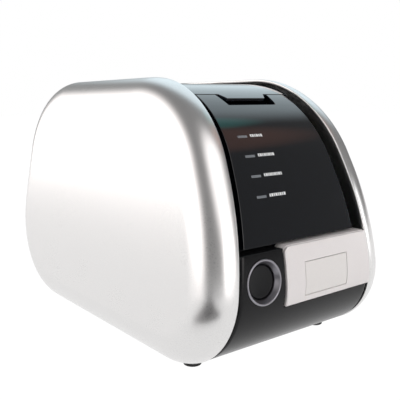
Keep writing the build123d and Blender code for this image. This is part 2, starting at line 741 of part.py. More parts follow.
# ---- optics ----
beam_z = bench_z + skin + mirror_motor_height + 0.5 + mirror_height / 2


def optics_bench():
    bench = block(x=(plate_left, plate_right), y=(bench_front, bench_rear), z=(bench_z, bench_z + skin))
    return bench - block(x=(-10, 34), y=(-20, -2), z=(bench_z - 1, bench_z + skin + 1))


def polygon_motor():
    top = bench_z + skin
    motor = post(mirror_motor_radius, mirror_x, mirror_y, top, top + mirror_motor_height)
    board = block(x=(mirror_x - 18, mirror_x + 22), y=(mirror_y - 19, mirror_y + 19), z=(top, top + 1.6))
    spindle = post(2.0, mirror_x, mirror_y, top, top + mirror_motor_height + mirror_height)
    return motor + board + spindle


def polygon_mirror():
    low = bench_z + skin + mirror_motor_height + 0.5
    mirror_body = Pos(mirror_x, mirror_y, low) * extrude(RegularPolygon(mirror_radius, 6), mirror_height)
    return mirror_body - post(2.0 + slip, mirror_x, mirror_y, low - 1, low + mirror_height + 1)


def laser_module():
    """Laser tube in its block, aimed at a facet of the spinning mirror."""
    radius, length = 6.0, 26.0
    x, y, turn = -15.0, 77.0, -44
    holder = Rot(0, 0, turn) * (Rot(0, 90, 0) * Cylinder(radius, length))
    holder += Rot(0, 0, turn) * Pos(0, 0, (bench_z + skin - beam_z) / 2) * Box(
        16, 12, beam_z - bench_z - skin)
    return Pos(x, y, beam_z) * holder


def scan_lens():
    """Long lens bar that keeps the spot flat along the scan line."""
    low, high = bench_z + skin, beam_z + 6
    chord = RadiusArc((-26, 0), (26, 0), 60)
    face = make_face([chord, Line((26, 0), (26, -8)), Line((26, -8), (-26, -8)), Line((-26, -8), (-26, 0))])
    return Pos(mirror_x, 14, low) * extrude(face, high - low)


def light_guide():
    return block(x=(plate_left + air, path_x + path_width / 2 + 4), y=(light_y - 4.2, light_y + 4),
                 z=(light_guide_z - 3, light_guide_z + 5)) + block(
        x=(path_x + path_width / 2 + 4, plate_right), y=(light_y - 2, light_y + 2),
        z=(light_guide_z - 2, light_guide_z + 2))


def photomultiplier():
    end = plate_left - tube_length
    tube = rod(tube_radius, end, plate_left, light_y, light_guide_z)
    return tube + rod(tube_radius + 2, end - 4, end + 2, light_y, light_guide_z)


def erase_lamp():
    bar = block(x=(plate_left, plate_right), y=(path_y + 4.5, path_y + 6.5), z=(111, 121))
    for index in range(8):
        x = path_x - path_width / 2 + 4 + index * 7.4
        bar += block(x=(x - 1.5, x + 1.5), y=(path_y + 4.0, path_y + 5), z=(114, 117))
    return bar


# ---- electronics ----
def main_board():
    board = block(x=(board_x, board_x + board_thickness), y=(-40, 100), z=(30, 150))
    parts = [((-20, 20), (60, 90), 4), ((30, 60), (50, 80), 3), ((70, 92), (110, 140), 12),
             ((-30, -6), (110, 122), 8), ((20, 44), (118, 140), 5), ((70, 94), (40, 56), 10)]
    for y, z, tall in parts:
        board += block(x=(board_x - tall, board_x + 0.1), y=y, z=z)
    return board


def board_spacers():
    spacers = []
    for y in (-34, 94):
        for z in (36, 144):
            spacers.append(rod(3, board_x + board_thickness, plate_left - plate_thickness, y, z))
    return Compound(children=spacers)


def power_supply():
    case = block(x=(psu_left, psu_right), y=(psu_front, psu_rear), z=(psu_bottom, psu_bottom + psu_height))
    for index in range(8):
        y = psu_front + 16 + index * 10
        case -= block(x=(psu_left + 12, psu_right - 12), y=(y, y + 3),
                      z=(psu_bottom + psu_height - 2, psu_bottom + psu_height + 1))
    return case


def main():
    os.makedirs("parts", exist_ok=True)
    right_cover = side_cover()
    screws = [cover_screw(y, z) for y, z in boss_places]
    nodes = {
        "base_pan": base_pan(), "rubber_feet": rubber_feet(),
        "right_side_cover": right_cover, "left_side_cover": mirror(right_cover, Plane.YZ),
        "cover_screws": Compound(children=screws + [mirror(s, Plane.YZ) for s in screws]),
        "lower_front_panel": lower_front_panel(), "upper_front_frame": upper_front_frame(),
        "front_pad": front_pad(), "status_lenses": status_lenses(), "lamp_board": lamp_board(),
        "lid": lid(), "lid_hinge_pins": lid_hinge_pins(), "lid_seal": lid_seal(),
        "top_deck": top_deck(), "lid_switch": lid_switch(), "top_rear_cover": top_rear_cover(),
        "rear_panel": rear_panel(), "power_inlet": power_inlet(), "usb_socket": usb_socket(),
        "rocker_switch_body": rocker_switch_body(), "rocker_paddle": rocker_paddle(),
        "fan_frame": fan_frame(), "fan_rotor": fan_rotor(),
        "button_ring": button_ring(), "power_button": power_button(),
        "button_switch": button_switch(),
        "tray_front": tray_front(), "tray_inlay": tray_inlay(), "tray_box": tray_box(),
        "tray_liner": tray_liner(), "tray_rails": tray_rails(),
        "left_frame_plate": left_frame_plate(), "right_frame_plate": right_frame_plate(),
        "cross_bars": cross_bars(), "front_guide": front_guide(), "rear_guide": rear_guide(),
        "shaft_bushes": shaft_bushes(), "drive_belt": drive_belt(),
        "stepper_motor": stepper_motor(), "motor_shaft": motor_shaft(),
        "motor_pulley": pulley(motor_pulley_radius, motor_y, motor_z, shaft_radius),
        "optics_bench": optics_bench(), "polygon_motor": polygon_motor(),
        "polygon_mirror": polygon_mirror(), "laser_module": laser_module(),
        "scan_lens": scan_lens(), "light_guide": light_guide(),
        "photomultiplier": photomultiplier(), "erase_lamp": erase_lamp(),
        "main_board": main_board(), "board_spacers": board_spacers(),
        "power_supply": power_supply(),
    }
    drive_end = pulley_x + pulley_width
    idler_end = plate_right + 3.5
    for name, y, z, end in (("upper_drive", drive_y, upper_roller_z, drive_end),
                            ("lower_drive", drive_y, lower_roller_z, drive_end),
                            ("upper_idler", idler_y, upper_roller_z, idler_end),
                            ("lower_idler", idler_y, lower_roller_z, idler_end)):
        nodes[name + "_roller"] = Compound(children=[shaft(y, z, end)] + list(sleeves(y, z).children))
    nodes["upper_drive_pulley"] = pulley(pulley_radius, drive_y, upper_roller_z, shaft_radius)
    nodes["lower_drive_pulley"] = pulley(pulley_radius, drive_y, lower_roller_z, shaft_radius)
    for name, shape in nodes.items():
        export_step(shape, f"parts/{name}.step")
        print(name, "solids", len(shape.solids()))


main()
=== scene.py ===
import json
import logging
import math
from dataclasses import dataclass
from enum import Enum
from typing import Callable, Sequence

import bmesh
import bpy
import numpy as np
from mathutils import Matrix, Vector


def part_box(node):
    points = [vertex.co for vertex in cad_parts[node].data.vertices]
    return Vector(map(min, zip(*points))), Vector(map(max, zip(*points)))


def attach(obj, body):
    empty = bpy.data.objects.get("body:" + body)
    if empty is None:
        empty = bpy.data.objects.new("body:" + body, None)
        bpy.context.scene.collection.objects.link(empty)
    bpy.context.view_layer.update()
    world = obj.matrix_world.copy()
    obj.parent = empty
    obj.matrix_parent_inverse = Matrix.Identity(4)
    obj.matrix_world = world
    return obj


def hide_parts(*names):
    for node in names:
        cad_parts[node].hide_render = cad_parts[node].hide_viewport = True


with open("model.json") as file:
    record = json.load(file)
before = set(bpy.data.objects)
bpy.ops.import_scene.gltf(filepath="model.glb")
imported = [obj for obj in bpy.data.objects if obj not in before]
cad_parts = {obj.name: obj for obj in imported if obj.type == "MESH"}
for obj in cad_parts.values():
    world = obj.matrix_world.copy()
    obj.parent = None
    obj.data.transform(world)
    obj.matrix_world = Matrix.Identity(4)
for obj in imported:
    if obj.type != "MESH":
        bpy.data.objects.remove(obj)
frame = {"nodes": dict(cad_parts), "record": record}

log = logging.getLogger("plate_reader")
MM = 0.001
EDGE = 1.0                      # a column here, in metres, is drawn in to the leaning rim
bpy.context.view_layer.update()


# ---- meshes ----
def to_object(mesh: bmesh.types.BMesh, name: str) -> bpy.types.Object:
    """Turns a finished bmesh into a smooth shaded object in the scene.

    Args:
        mesh: The mesh, which is freed here.
        name: Name of the piece.

    Returns:
        The new object, at the origin.
    """
    data = bpy.data.meshes.new(name)
    mesh.to_mesh(data)
    mesh.free()
    data.shade_smooth()
    made = bpy.data.objects.new(name, data)
    bpy.context.scene.collection.objects.link(made)
    return made


def bake(piece: bpy.types.Object) -> bpy.types.Object:
    """Turns a piece with modifiers into a plain mesh.

    Args:
        piece: The object, whose modifiers are removed.

    Returns:
        The same object.
    """
    graph = bpy.context.evaluated_depsgraph_get()
    data = bpy.data.meshes.new_from_object(piece.evaluated_get(graph), depsgraph=graph)
    data.name = piece.name
    piece.modifiers.clear()
    piece.data = data
    return piece


def round_edges(piece: bpy.types.Object, width: float, steps: int = 3,
                weighted: bool = False) -> bpy.types.Object:
    """Rounds edges, evens the shading and makes the result plain.

    Args:
        piece: The object to round.
        width: Width of the rounding, in metres.
        steps: Faces across the rounding.
        weighted: Round each edge by its stored weight, not every sharp edge.

    Returns:
        The same object.
    """
    bevel = piece.modifiers.new("round", "BEVEL")
    bevel.width = width
    bevel.segments = steps
    bevel.limit_method = "WEIGHT" if weighted else "ANGLE"
    bevel.angle_limit = math.radians(35)
    piece.modifiers.new("shade", "WEIGHTED_NORMAL").keep_sharp = True
    return bake(piece)


def join(name: str, pieces: Sequence[bpy.types.Object]) -> bpy.types.Object:
    """Joins pieces of one body into one object.

    Args:
        name: Name of the result.
        pieces: The objects, all with the same finish order.

    Returns:
        The joined object.
    """
    with bpy.context.temp_override(active_object=pieces[0], selected_editable_objects=list(pieces)):
        bpy.ops.object.join()
    pieces[0].name = pieces[0].data.name = name
    return pieces[0]


def solid_box(name: str, place: Matrix, size: Sequence[float], rounding: float,
              steps: int = 2) -> bpy.types.Object:
    """Block with rounded edges.

    Args:
        name: Name of the piece.
        place: Where its middle lies, and how it is turned.
        size: Its three sizes, in metres.
        rounding: Radius of its edges.
        steps: Faces across a rounded edge.

    Returns:
        The block.
    """
    mesh = bmesh.new()
    bmesh.ops.create_cube(mesh, size=1.0, matrix=place @ Matrix.Diagonal((*size, 1.0)))
    bmesh.ops.recalc_face_normals(mesh, faces=mesh.faces)
    return round_edges(to_object(mesh, name), rounding, steps)


def turned(name: str, profile: Sequence[tuple[float, float]], place: Matrix, sides: int = 96,
           rounding: float = 0.0) -> bpy.types.Object:
    """Turns a closed profile about the local Z axis.

    Args:
        name: Name of the piece.
        profile: Radius and height of each corner, in metres; a radius of 0 lies on the axis.
        place: Where the axis lies.
        sides: Steps round the axis.
        rounding: Radius of its sharp edges.

    Returns:
        The turned piece.
    """
    mesh = bmesh.new()
    rings = []
    for radius, height in profile:
        if radius == 0:
            rings.append([mesh.verts.new(place @ Vector((0, 0, height)))] * sides)
            continue
        turns = [2 * math.pi * k / sides for k in range(sides)]
        rings.append([mesh.verts.new(place @ Vector((radius * math.cos(a), radius * math.sin(a), height)))
                      for a in turns])
    on_axis = profile[0][0] == 0 and profile[-1][0] == 0
    for index in range(len(rings) - (1 if on_axis else 0)):
        first, second = rings[index], rings[(index + 1) % len(rings)]
        for k in range(sides):
            corners = [first[k], first[(k + 1) % sides], second[(k + 1) % sides], second[k]]
            corners = list(dict.fromkeys(corners))
            if len(corners) > 2:
                mesh.faces.new(corners)
    bmesh.ops.recalc_face_normals(mesh, faces=mesh.faces)
    piece = to_object(mesh, name)
    return round_edges(piece, rounding) if rounding else piece


def close_rings(mesh: bmesh.types.BMesh, rings: Sequence[Sequence[bmesh.types.BMVert]]) -> None:
    """Joins rings of points by faces, and closes both ends.

    Args:
        mesh: The mesh that holds the points.
        rings: The rings, all with as many points.
    """
    for near, far in zip(rings, rings[1:]):
        for k in range(len(near)):
            after = (k + 1) % len(near)
            mesh.faces.new([near[k], near[after], far[after], far[k]])
    mesh.faces.new(rings[0])
    mesh.faces.new(rings[-1])
    bmesh.ops.recalc_face_normals(mesh, faces=mesh.faces)


# ---- the shape that all skins follow ----
@dataclass(frozen=True)
class Corner:
    """Rounded corner of the side outline: place from the front, height and radius, in mm."""

    y: float
    z: float
    radius: float


@dataclass
class Outline:
    """The closed side outline, traced clockwise from the middle of its flat bottom.

    Attributes:
        corners: Its rounded corners, in mm.
        floor: Height of its bottom, in metres.
        stretch: Factor on its heights.
        shift: Its offset along Y, in metres.
        arc_step: Spacing of the points on its arcs, in metres.
    """

    corners: Sequence[Corner]
    floor: float
    stretch: float = 1.0
    shift: float = 0.0
    arc_step: float = 0.5 * MM

    def __post_init__(self) -> None:
        """Traces the outline once, finely, as places and inward normals."""
        knots = [Vector((c.y, c.z * self.stretch)) * MM for c in self.corners]
        places, inward = [], []
        for index, corner in enumerate(self.corners):
            here, radius = knots[index], corner.radius * MM
            before = (here - knots[index - 1]).normalized()
            after = (knots[(index + 1) % len(knots)] - here).normalized()
            heading = math.atan2(before.y, before.x)
            turn = math.acos(before.dot(after))
            start = here - before * radius * math.tan(turn / 2)
            centre = start + Vector((before.y, -before.x)) * radius
            count = max(2, round(radius * turn / self.arc_step))
            for step in range(count + 1):
                angle = heading - turn * step / count
                normal = Vector((math.sin(angle), -math.cos(angle)))
                places.append(centre - normal * radius)
                inward.append(normal)
        middle = (places[-1] + places[0]) / 2
        places = [middle, *places, middle]
        inward = [inward[0], *inward, inward[0]]
        self.places = np.array(places) + np.array([self.shift, self.floor])
        self.inward = np.array(inward)
        self.along = np.concatenate([[0], np.cumsum(np.linalg.norm(np.diff(self.places, axis=0), axis=1))])
        self.length = self.along[-1]
        self.front = self.along[self.places[:, 0].argmin()]
        self.top = self.along[self.places[:, 1].argmax()]
        self.rear = self.along[self.places[:, 0].argmax()]

    def at(self, along: float, inset: float = 0.0) -> tuple[float, float]:
        """Place on the outline.

        Args:
            along: Distance along the outline.
            inset: Distance inwards.

        Returns:
            Its y and z.
        """
        along = along % self.length
        spot = [np.interp(along, self.along, self.places[:, k]) for k in (0, 1)]
        normal = [np.interp(along, self.along, self.inward[:, k]) for k in (0, 1)]
        return spot[0] + inset * normal[0], spot[1] + inset * normal[1]

    def find(self, axis: int, value: float, low: float, high: float, inset: float = 0.0) -> float:
        """Distance along the outline at which it reaches a y (axis 0) or a z (axis 1).

        Args:
            axis: 0 for y, 1 for z.
            value: The place to find, in metres.
            low: Start of the stretch to search.
            high: End of that stretch.
            inset: Distance inwards.

        Returns:
            The distance along the outline.
        """
        inside = (self.along >= low) & (self.along <= high)
        reach = (self.places + inset * self.inward)[inside, axis]
        where = self.along[inside]
        if reach[0] > reach[-1]:
            reach, where = reach[::-1], where[::-1]
        return float(np.interp(value, reach, where))

    def front_at(self, z: float, inset: float = 0.0) -> float:
        """Distance along the outline at height z on its front."""
        return self.find(1, z, self.length * 0.02, self.top, inset)

    def top_at(self, y: float, inset: float = 0.0) -> float:
        """Distance along the outline at y on its upper half."""
        return self.find(0, y, self.front, self.rear, inset)

    def rear_at(self, z: float, inset: float = 0.0) -> float:
        """Distance along the outline at height z on its rear."""
        return self.find(1, z, self.top, self.length * 0.98, inset)

    def place(self, along: float, inset: float, x: float, rear: bool = False) -> Matrix:
        """Frame on the outline's surface: X across, Y up along the surface, Z outwards.

        Args:
            along: Distance along the outline.
            inset: Distance inwards.
            x: Place across.
            rear: Seen from the rear, with X reversed.

        Returns:
            The frame as a matrix.
        """
        y, z = self.at(along, inset)
        below, above = self.at(along - MM, inset), self.at(along + MM, inset)
        rise = Vector((0, above[0] - below[0], above[1] - below[1])).normalized() * (-1 if rear else 1)
        across = Vector((-1 if rear else 1, 0, 0))
        turn = Matrix((across, rise, across.cross(rise))).transposed().to_4x4()
        return Matrix.Translation((x, y, z)) @ turn


@dataclass
class Shell:
    """The leaning envelope of the case: its side outline between two rim planes.

    Attributes:
        corners: Corners of the side outline.
        floor: Height of the rims' lowest point.
        half_width: Half the distance between the rims, at the floor.
        lean: Slope of the rims, as inward run over height.
    """

    corners: Sequence[Corner] = (
        Corner(-7.6, 0.0, 66.0), Corner(4.4, 119.9, 262.7), Corner(61.2, 240.6, 119.0),
        Corner(349.6, 236.3, 88.3), Corner(367.8, 115.5, 150.0), Corner(375.6, 0.0, 93.1))
    floor: float = 5.5 * MM
    half_width: float = 88.15 * MM
    lean: float = 0.1148

    def __post_init__(self) -> None:
        """Places the outline by the near cover's box."""
        self.tilt = math.atan(self.lean)
        plain = Outline(self.corners, self.floor)
        middle = sum(corner.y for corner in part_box("left_side_cover")) / 2
        shift = middle - (plain.places[:, 0].min() + plain.places[:, 0].max()) / 2
        self.outline = Outline(self.corners, self.floor, shift=shift)
        self.rim = Outline(self.corners, 0.0, 1 / math.cos(self.tilt), shift)

    def half(self, z: float, inset: float = 0.0) -> float:
        """Half width between the rim planes at height z, each moved inwards by inset."""
        return self.half_width - (z - self.floor) * self.lean - inset / math.cos(self.tilt)

    def rows(self, low: float, high: float, step: float = 3.0 * MM,
             stops: Sequence[float] = ()) -> list[float]:
        """Evenly spaced distances along the outline that include every stop.

        Args:
            low: First distance.
            high: Last distance.
            step: Largest step.
            stops: Distances that have to be among them.

        Returns:
            The distances, in order.
        """
        marks = sorted({low, high, *[s for s in stops if low < s < high]})
        found = []
        for start, end in zip(marks, marks[1:]):
            count = max(1, math.ceil((end - start) / step - 1e-6))
            found += [start + (end - start) * k / count for k in range(count)]
        return [*found, high]


@dataclass
class Skin:
    """A piece of the case's skin: a grid on the outline that is cut, thickened and rounded.

    Attributes:
        shell: The envelope that it follows.
        rows: Distances along the outline.
        columns: Places across; -EDGE and EDGE follow the rims.
        inset: Depth of its face below the outline.
        thickness: Its thickness.
        side: Clearance from the rim planes.
        side_round: Rounding along its left and right edges.
        end_round: Rounding along its first and last rows.
        fine_round: Rounding of every other edge.
        keep: Says for the middle of a cell, as x and distance along, whether it is kept.
        bend: Moves a grid point, given as x, distance along and depth.
    """

    shell: Shell
    rows: Sequence[float]
    columns: Sequence[float]
    inset: float
    thickness: float
    side: float = 0.8 * MM
    side_round: float = 0.5 * MM
    end_round: float = 0.5 * MM
    fine_round: float = 0.25 * MM
    keep: Callable[[float, float], bool] = lambda x, along: True
    bend: Callable[[float, float, float], tuple[float, float, float]] | None = None

    def point(self, column: float, row: float, depth: float) -> Vector:
        """Place of one grid point, at a depth below the face."""
        if self.bend:
            column, row, depth = self.bend(column, row, depth)
        y, z = self.shell.outline.at(row, self.inset + depth)
        half = self.shell.half(z, self.side)
        return Vector((max(-half, min(half, column)), y, z))

    def build(self, name: str) -> bpy.types.Object:
        """Makes the piece.

        Args:
            name: Name of the piece.

        Returns:
            A closed mesh with rounded edges.
        """
        rows, columns = list(self.rows), list(self.columns)
        limit = self.shell.half_width
        last_row, last_column = len(rows) - 1, len(columns) - 1
        clipped = [max(-limit, min(limit, c)) for c in columns]
        kept = {(i, j) for i in range(last_row) for j in range(last_column)
                if self.keep((clipped[j] + clipped[j + 1]) / 2, (rows[i] + rows[i + 1]) / 2)}
        mesh = bmesh.new()
        corners: dict[tuple[int, int, int], bmesh.types.BMVert] = {}

        def corner(i: int, j: int, low: int) -> bmesh.types.BMVert:
            """Vertex of grid point i, j on the face (0) or the back (1)."""
            key = (i, j, low)
            if key not in corners:
                corners[key] = mesh.verts.new(self.point(columns[j], rows[i], self.thickness * low))
            return corners[key]

        for i, j in kept:
            ring = [(i, j), (i, j + 1), (i + 1, j + 1), (i + 1, j)]
            mesh.faces.new([corner(*spot, 0) for spot in ring])
            mesh.faces.new([corner(*spot, 1) for spot in reversed(ring)])
            beside = [(i - 1, j), (i, j + 1), (i + 1, j), (i, j - 1)]
            for k, cell in enumerate(beside):
                if cell not in kept:
                    start, end = ring[k], ring[(k + 1) % 4]
                    mesh.faces.new([corner(*end, 0), corner(*start, 0), corner(*start, 1), corner(*end, 1)])
        bmesh.ops.recalc_face_normals(mesh, faces=mesh.faces)
        widest = max(self.side_round, self.end_round, self.fine_round)
        weight = mesh.edges.layers.float.new("bevel_weight_edge")
        spots = {vert: key for key, vert in corners.items()}
        for edge in mesh.edges:
            if edge.calc_face_angle(0) < math.radians(30):
                continue
            (i0, j0, low0), (i1, j1, low1) = (spots[vert] for vert in edge.verts)
            width = self.fine_round
            if low0 == low1 == 0 and i0 == i1 and i0 in (0, last_row):
                width = self.end_round
            elif low0 == low1 == 0 and j0 == j1 and j0 in (0, last_column):
                width = self.side_round
            edge[weight] = width / widest
        return round_edges(to_object(mesh, name), widest, 5, weighted=True)


def hole_lines(radius: float, margin: float, steps: int) -> list[float]:
    """Grid lines across a round hole and the rings of cells round it.

    Args:
        radius: Radius of the hole.
        margin: Width of the rings together.
        steps: Cells across the hole.

    Returns:
        Distances from its middle, in order.
    """
    rings = [radius + margin * k / 3 for k in range(1, 4)]
    inner = [radius * (k / steps * 2 - 1) for k in range(steps + 1)]
    return [*[-ring for ring in reversed(rings)], *inner, *rings]


def round_hole(x0: float, row0: float, radius: float, margin: float) -> Callable[
        [float, float, float], tuple[float, float, float]]:
    """Makes the bend that draws the squares round a hole onto circles, less and less going outwards.

    Args:
        x0: Middle of the hole across.
        row0: Middle of the hole along the outline.
        radius: Its radius.
        margin: Width of the rings round it.

    Returns:
        A bend for Skin.
    """
    def bend(x: float, along: float, depth: float) -> tuple[float, float, float]:
        """Moves one point of the grid."""
        dx, dy = x - x0, along - row0
        square = max(abs(dx), abs(dy))
        if square > radius + margin or not square:
            return x, along, depth
        roundness = min(1.0, (radius + margin - square) / margin)
        grow = 1 + (square / math.hypot(dx, dy) - 1) * roundness
        return x0 + dx * grow, row0 + dy * grow, depth
    return bend


# ---- finishes ----
def linear(code: str) -> tuple[float, float, float, float]:
    """Turns an sRGB hex colour into linear light, with full opacity."""
    channels = [int(code[k:k + 2], 16) / 255 for k in (0, 2, 4)]
    red, green, blue = [c / 12.92 if c <= 0.04045 else ((c + 0.055) / 1.055) ** 2.4 for c in channels]
    return red, green, blue, 1.0


def add_node(tree: bpy.types.NodeTree, kind: str, inputs: dict | None = None,
             **settings: object) -> bpy.types.Node:
    """Adds a node with its settings and links.

    Args:
        tree: The node tree.
        kind: Blender's name of the node type.
        inputs: A value or an output socket for each input, by its name or number.
        **settings: Properties of the node.

    Returns:
        The node.
    """
    made = tree.nodes.new(kind)
    for key, value in settings.items():
        setattr(made, key, value)
    for key, value in (inputs or {}).items():
        if isinstance(value, bpy.types.NodeSocket):
            tree.links.new(value, made.inputs[key])
        else:
            made.inputs[key].default_value = value
    return made


class Pattern(Enum):
    """What a surface shows close up."""

    GRAIN = "fine moulded grain"
    FLAKE = "metal flakes under lacquer"
    BRUSHED = "straight brush lines"
    LATHE = "turning marks round an axis"
    SPANGLE = "zinc spangle"
    CELLS = "open foam cells"
    TRACKS = "copper tracks under solder mask"


@dataclass(frozen=True)
class Finish:
    """One finish, from its colours, gloss and pattern.

    Attributes:
        name: What the material is and how its surface was made.
        colour: Main colour, sRGB hex.
        second: Colour that the pattern mixes in.
        roughness: Mean roughness.
        spread: How far the roughness wanders.
        metallic: 1 for a metal.
        coat: Strength of a clear lacquer.
        coat_roughness: Roughness of that lacquer.
        ior: Refractive index.
        specular: Specular level.
        transmission: 1 for clear glass.
        pattern: What shows close up.
        size: Size of that pattern, in mm.
        relief: Height of that pattern, in mm.
        direction: Stretch of the pattern along X, Y and Z.
        centre: Middle of a turned pattern, in metres.
        mix: Share of the second colour at the pattern's peaks.
        glow: Strength of its own light.
    """

    name: str
    colour: str
    second: str
    roughness: float
    spread: float = 0.05
    metallic: float = 0.0
    coat: float = 0.0
    coat_roughness: float = 0.05
    ior: float = 1.5
    specular: float = 0.5
    transmission: float = 0.0
    pattern: Pattern = Pattern.GRAIN
    size: float = 1.0
    relief: float = 0.01
    direction: tuple[float, float, float] = (1.0, 1.0, 1.0)
    centre: tuple[float, float, float] = (0.0, 0.0, 0.0)
    mix: float = 1.0
    glow: float = 0.0

    def height(self, tree: bpy.types.NodeTree) -> bpy.types.NodeSocket:
        """Builds the pattern.

        Args:
            tree: The material's node tree.

        Returns:
            A socket that runs from 0 to 1 over the pattern.
        """
        spot = add_node(tree, "ShaderNodeTexCoord").outputs["Object"]
        moved = add_node(tree, "ShaderNodeMapping", {
            "Vector": spot, "Location": [-c * s for c, s in zip(self.centre, self.direction)],
            "Scale": self.direction}).outputs[0]
        scale = 1 / (self.size * MM)
        if self.pattern is Pattern.LATHE:
            radius = add_node(tree, "ShaderNodeVectorMath", {0: moved}, operation="LENGTH").outputs["Value"]
            moved = add_node(tree, "ShaderNodeCombineXYZ", {"X": radius}).outputs[0]
        if self.pattern in (Pattern.SPANGLE, Pattern.CELLS, Pattern.FLAKE):
            cells = add_node(tree, "ShaderNodeTexVoronoi", {"Vector": moved, "Scale": scale})
            if self.pattern is Pattern.CELLS:
                return cells.outputs["Distance"]
            return add_node(tree, "ShaderNodeSeparateColor", {"Color": cells.outputs["Color"]}).outputs[0]
        if self.pattern is Pattern.TRACKS:
            bricks = add_node(tree, "ShaderNodeTexBrick", {
                "Vector": moved, "Scale": scale, "Mortar Size": 0.08, "Color1": (0, 0, 0, 1),
                "Color2": (0.3, 0.3, 0.3, 1), "Mortar": (1, 1, 1, 1)})
            return add_node(tree, "ShaderNodeRGBToBW", {"Color": bricks.outputs["Color"]}).outputs[0]
        return add_node(tree, "ShaderNodeTexNoise", {
            "Vector": moved, "Scale": scale, "Detail": 3.0, "Roughness": 0.6}).outputs["Fac"]

    def make(self) -> bpy.types.Material:
        """Builds the material, once for each name.

        Returns:
            The material.
        """
        known = bpy.data.materials.get(self.name)
        if known:
            return known
        material = bpy.data.materials.new(self.name)
        material.use_nodes = True
        tree = material.node_tree
        tree.nodes.clear()
        height = self.height(tree)
        soft = add_node(tree, "ShaderNodeTexNoise", {
            "Vector": add_node(tree, "ShaderNodeTexCoord").outputs["Object"],
            "Scale": 1 / (60 * MM), "Detail": 2.0}).outputs["Fac"]
        share = add_node(tree, "ShaderNodeMath", {0: height, 1: self.mix}, operation="MULTIPLY").outputs[0]
        tint = add_node(tree, "ShaderNodeMix", {
            "Factor": share, 6: linear(self.colour), 7: linear(self.second)}, data_type="RGBA").outputs[2]
        both = add_node(tree, "ShaderNodeMath", {0: height, 1: soft}, operation="ADD").outputs[0]
        rough = add_node(tree, "ShaderNodeMapRange", {
            "Value": both, "From Min": 0.0, "From Max": 2.0,
            "To Min": max(0.0, self.roughness - self.spread),
            "To Max": self.roughness + self.spread}).outputs[0]
        bump = add_node(tree, "ShaderNodeBump", {
            "Height": height, "Strength": 1.0, "Distance": self.relief * MM}).outputs[0]
        shader = add_node(tree, "ShaderNodeBsdfPrincipled", {
            "Base Color": tint, "Roughness": rough, "Normal": bump, "Metallic": self.metallic,
            "IOR": self.ior, "Specular IOR Level": self.specular, "Coat Weight": self.coat,
            "Coat Roughness": self.coat_roughness, "Transmission Weight": self.transmission})
        if self.glow:
            tree.links.new(tint, shader.inputs["Emission Color"])
            shader.inputs["Emission Strength"].default_value = self.glow
        add_node(tree, "ShaderNodeOutputMaterial", {"Surface": shader.outputs[0]})
        return material


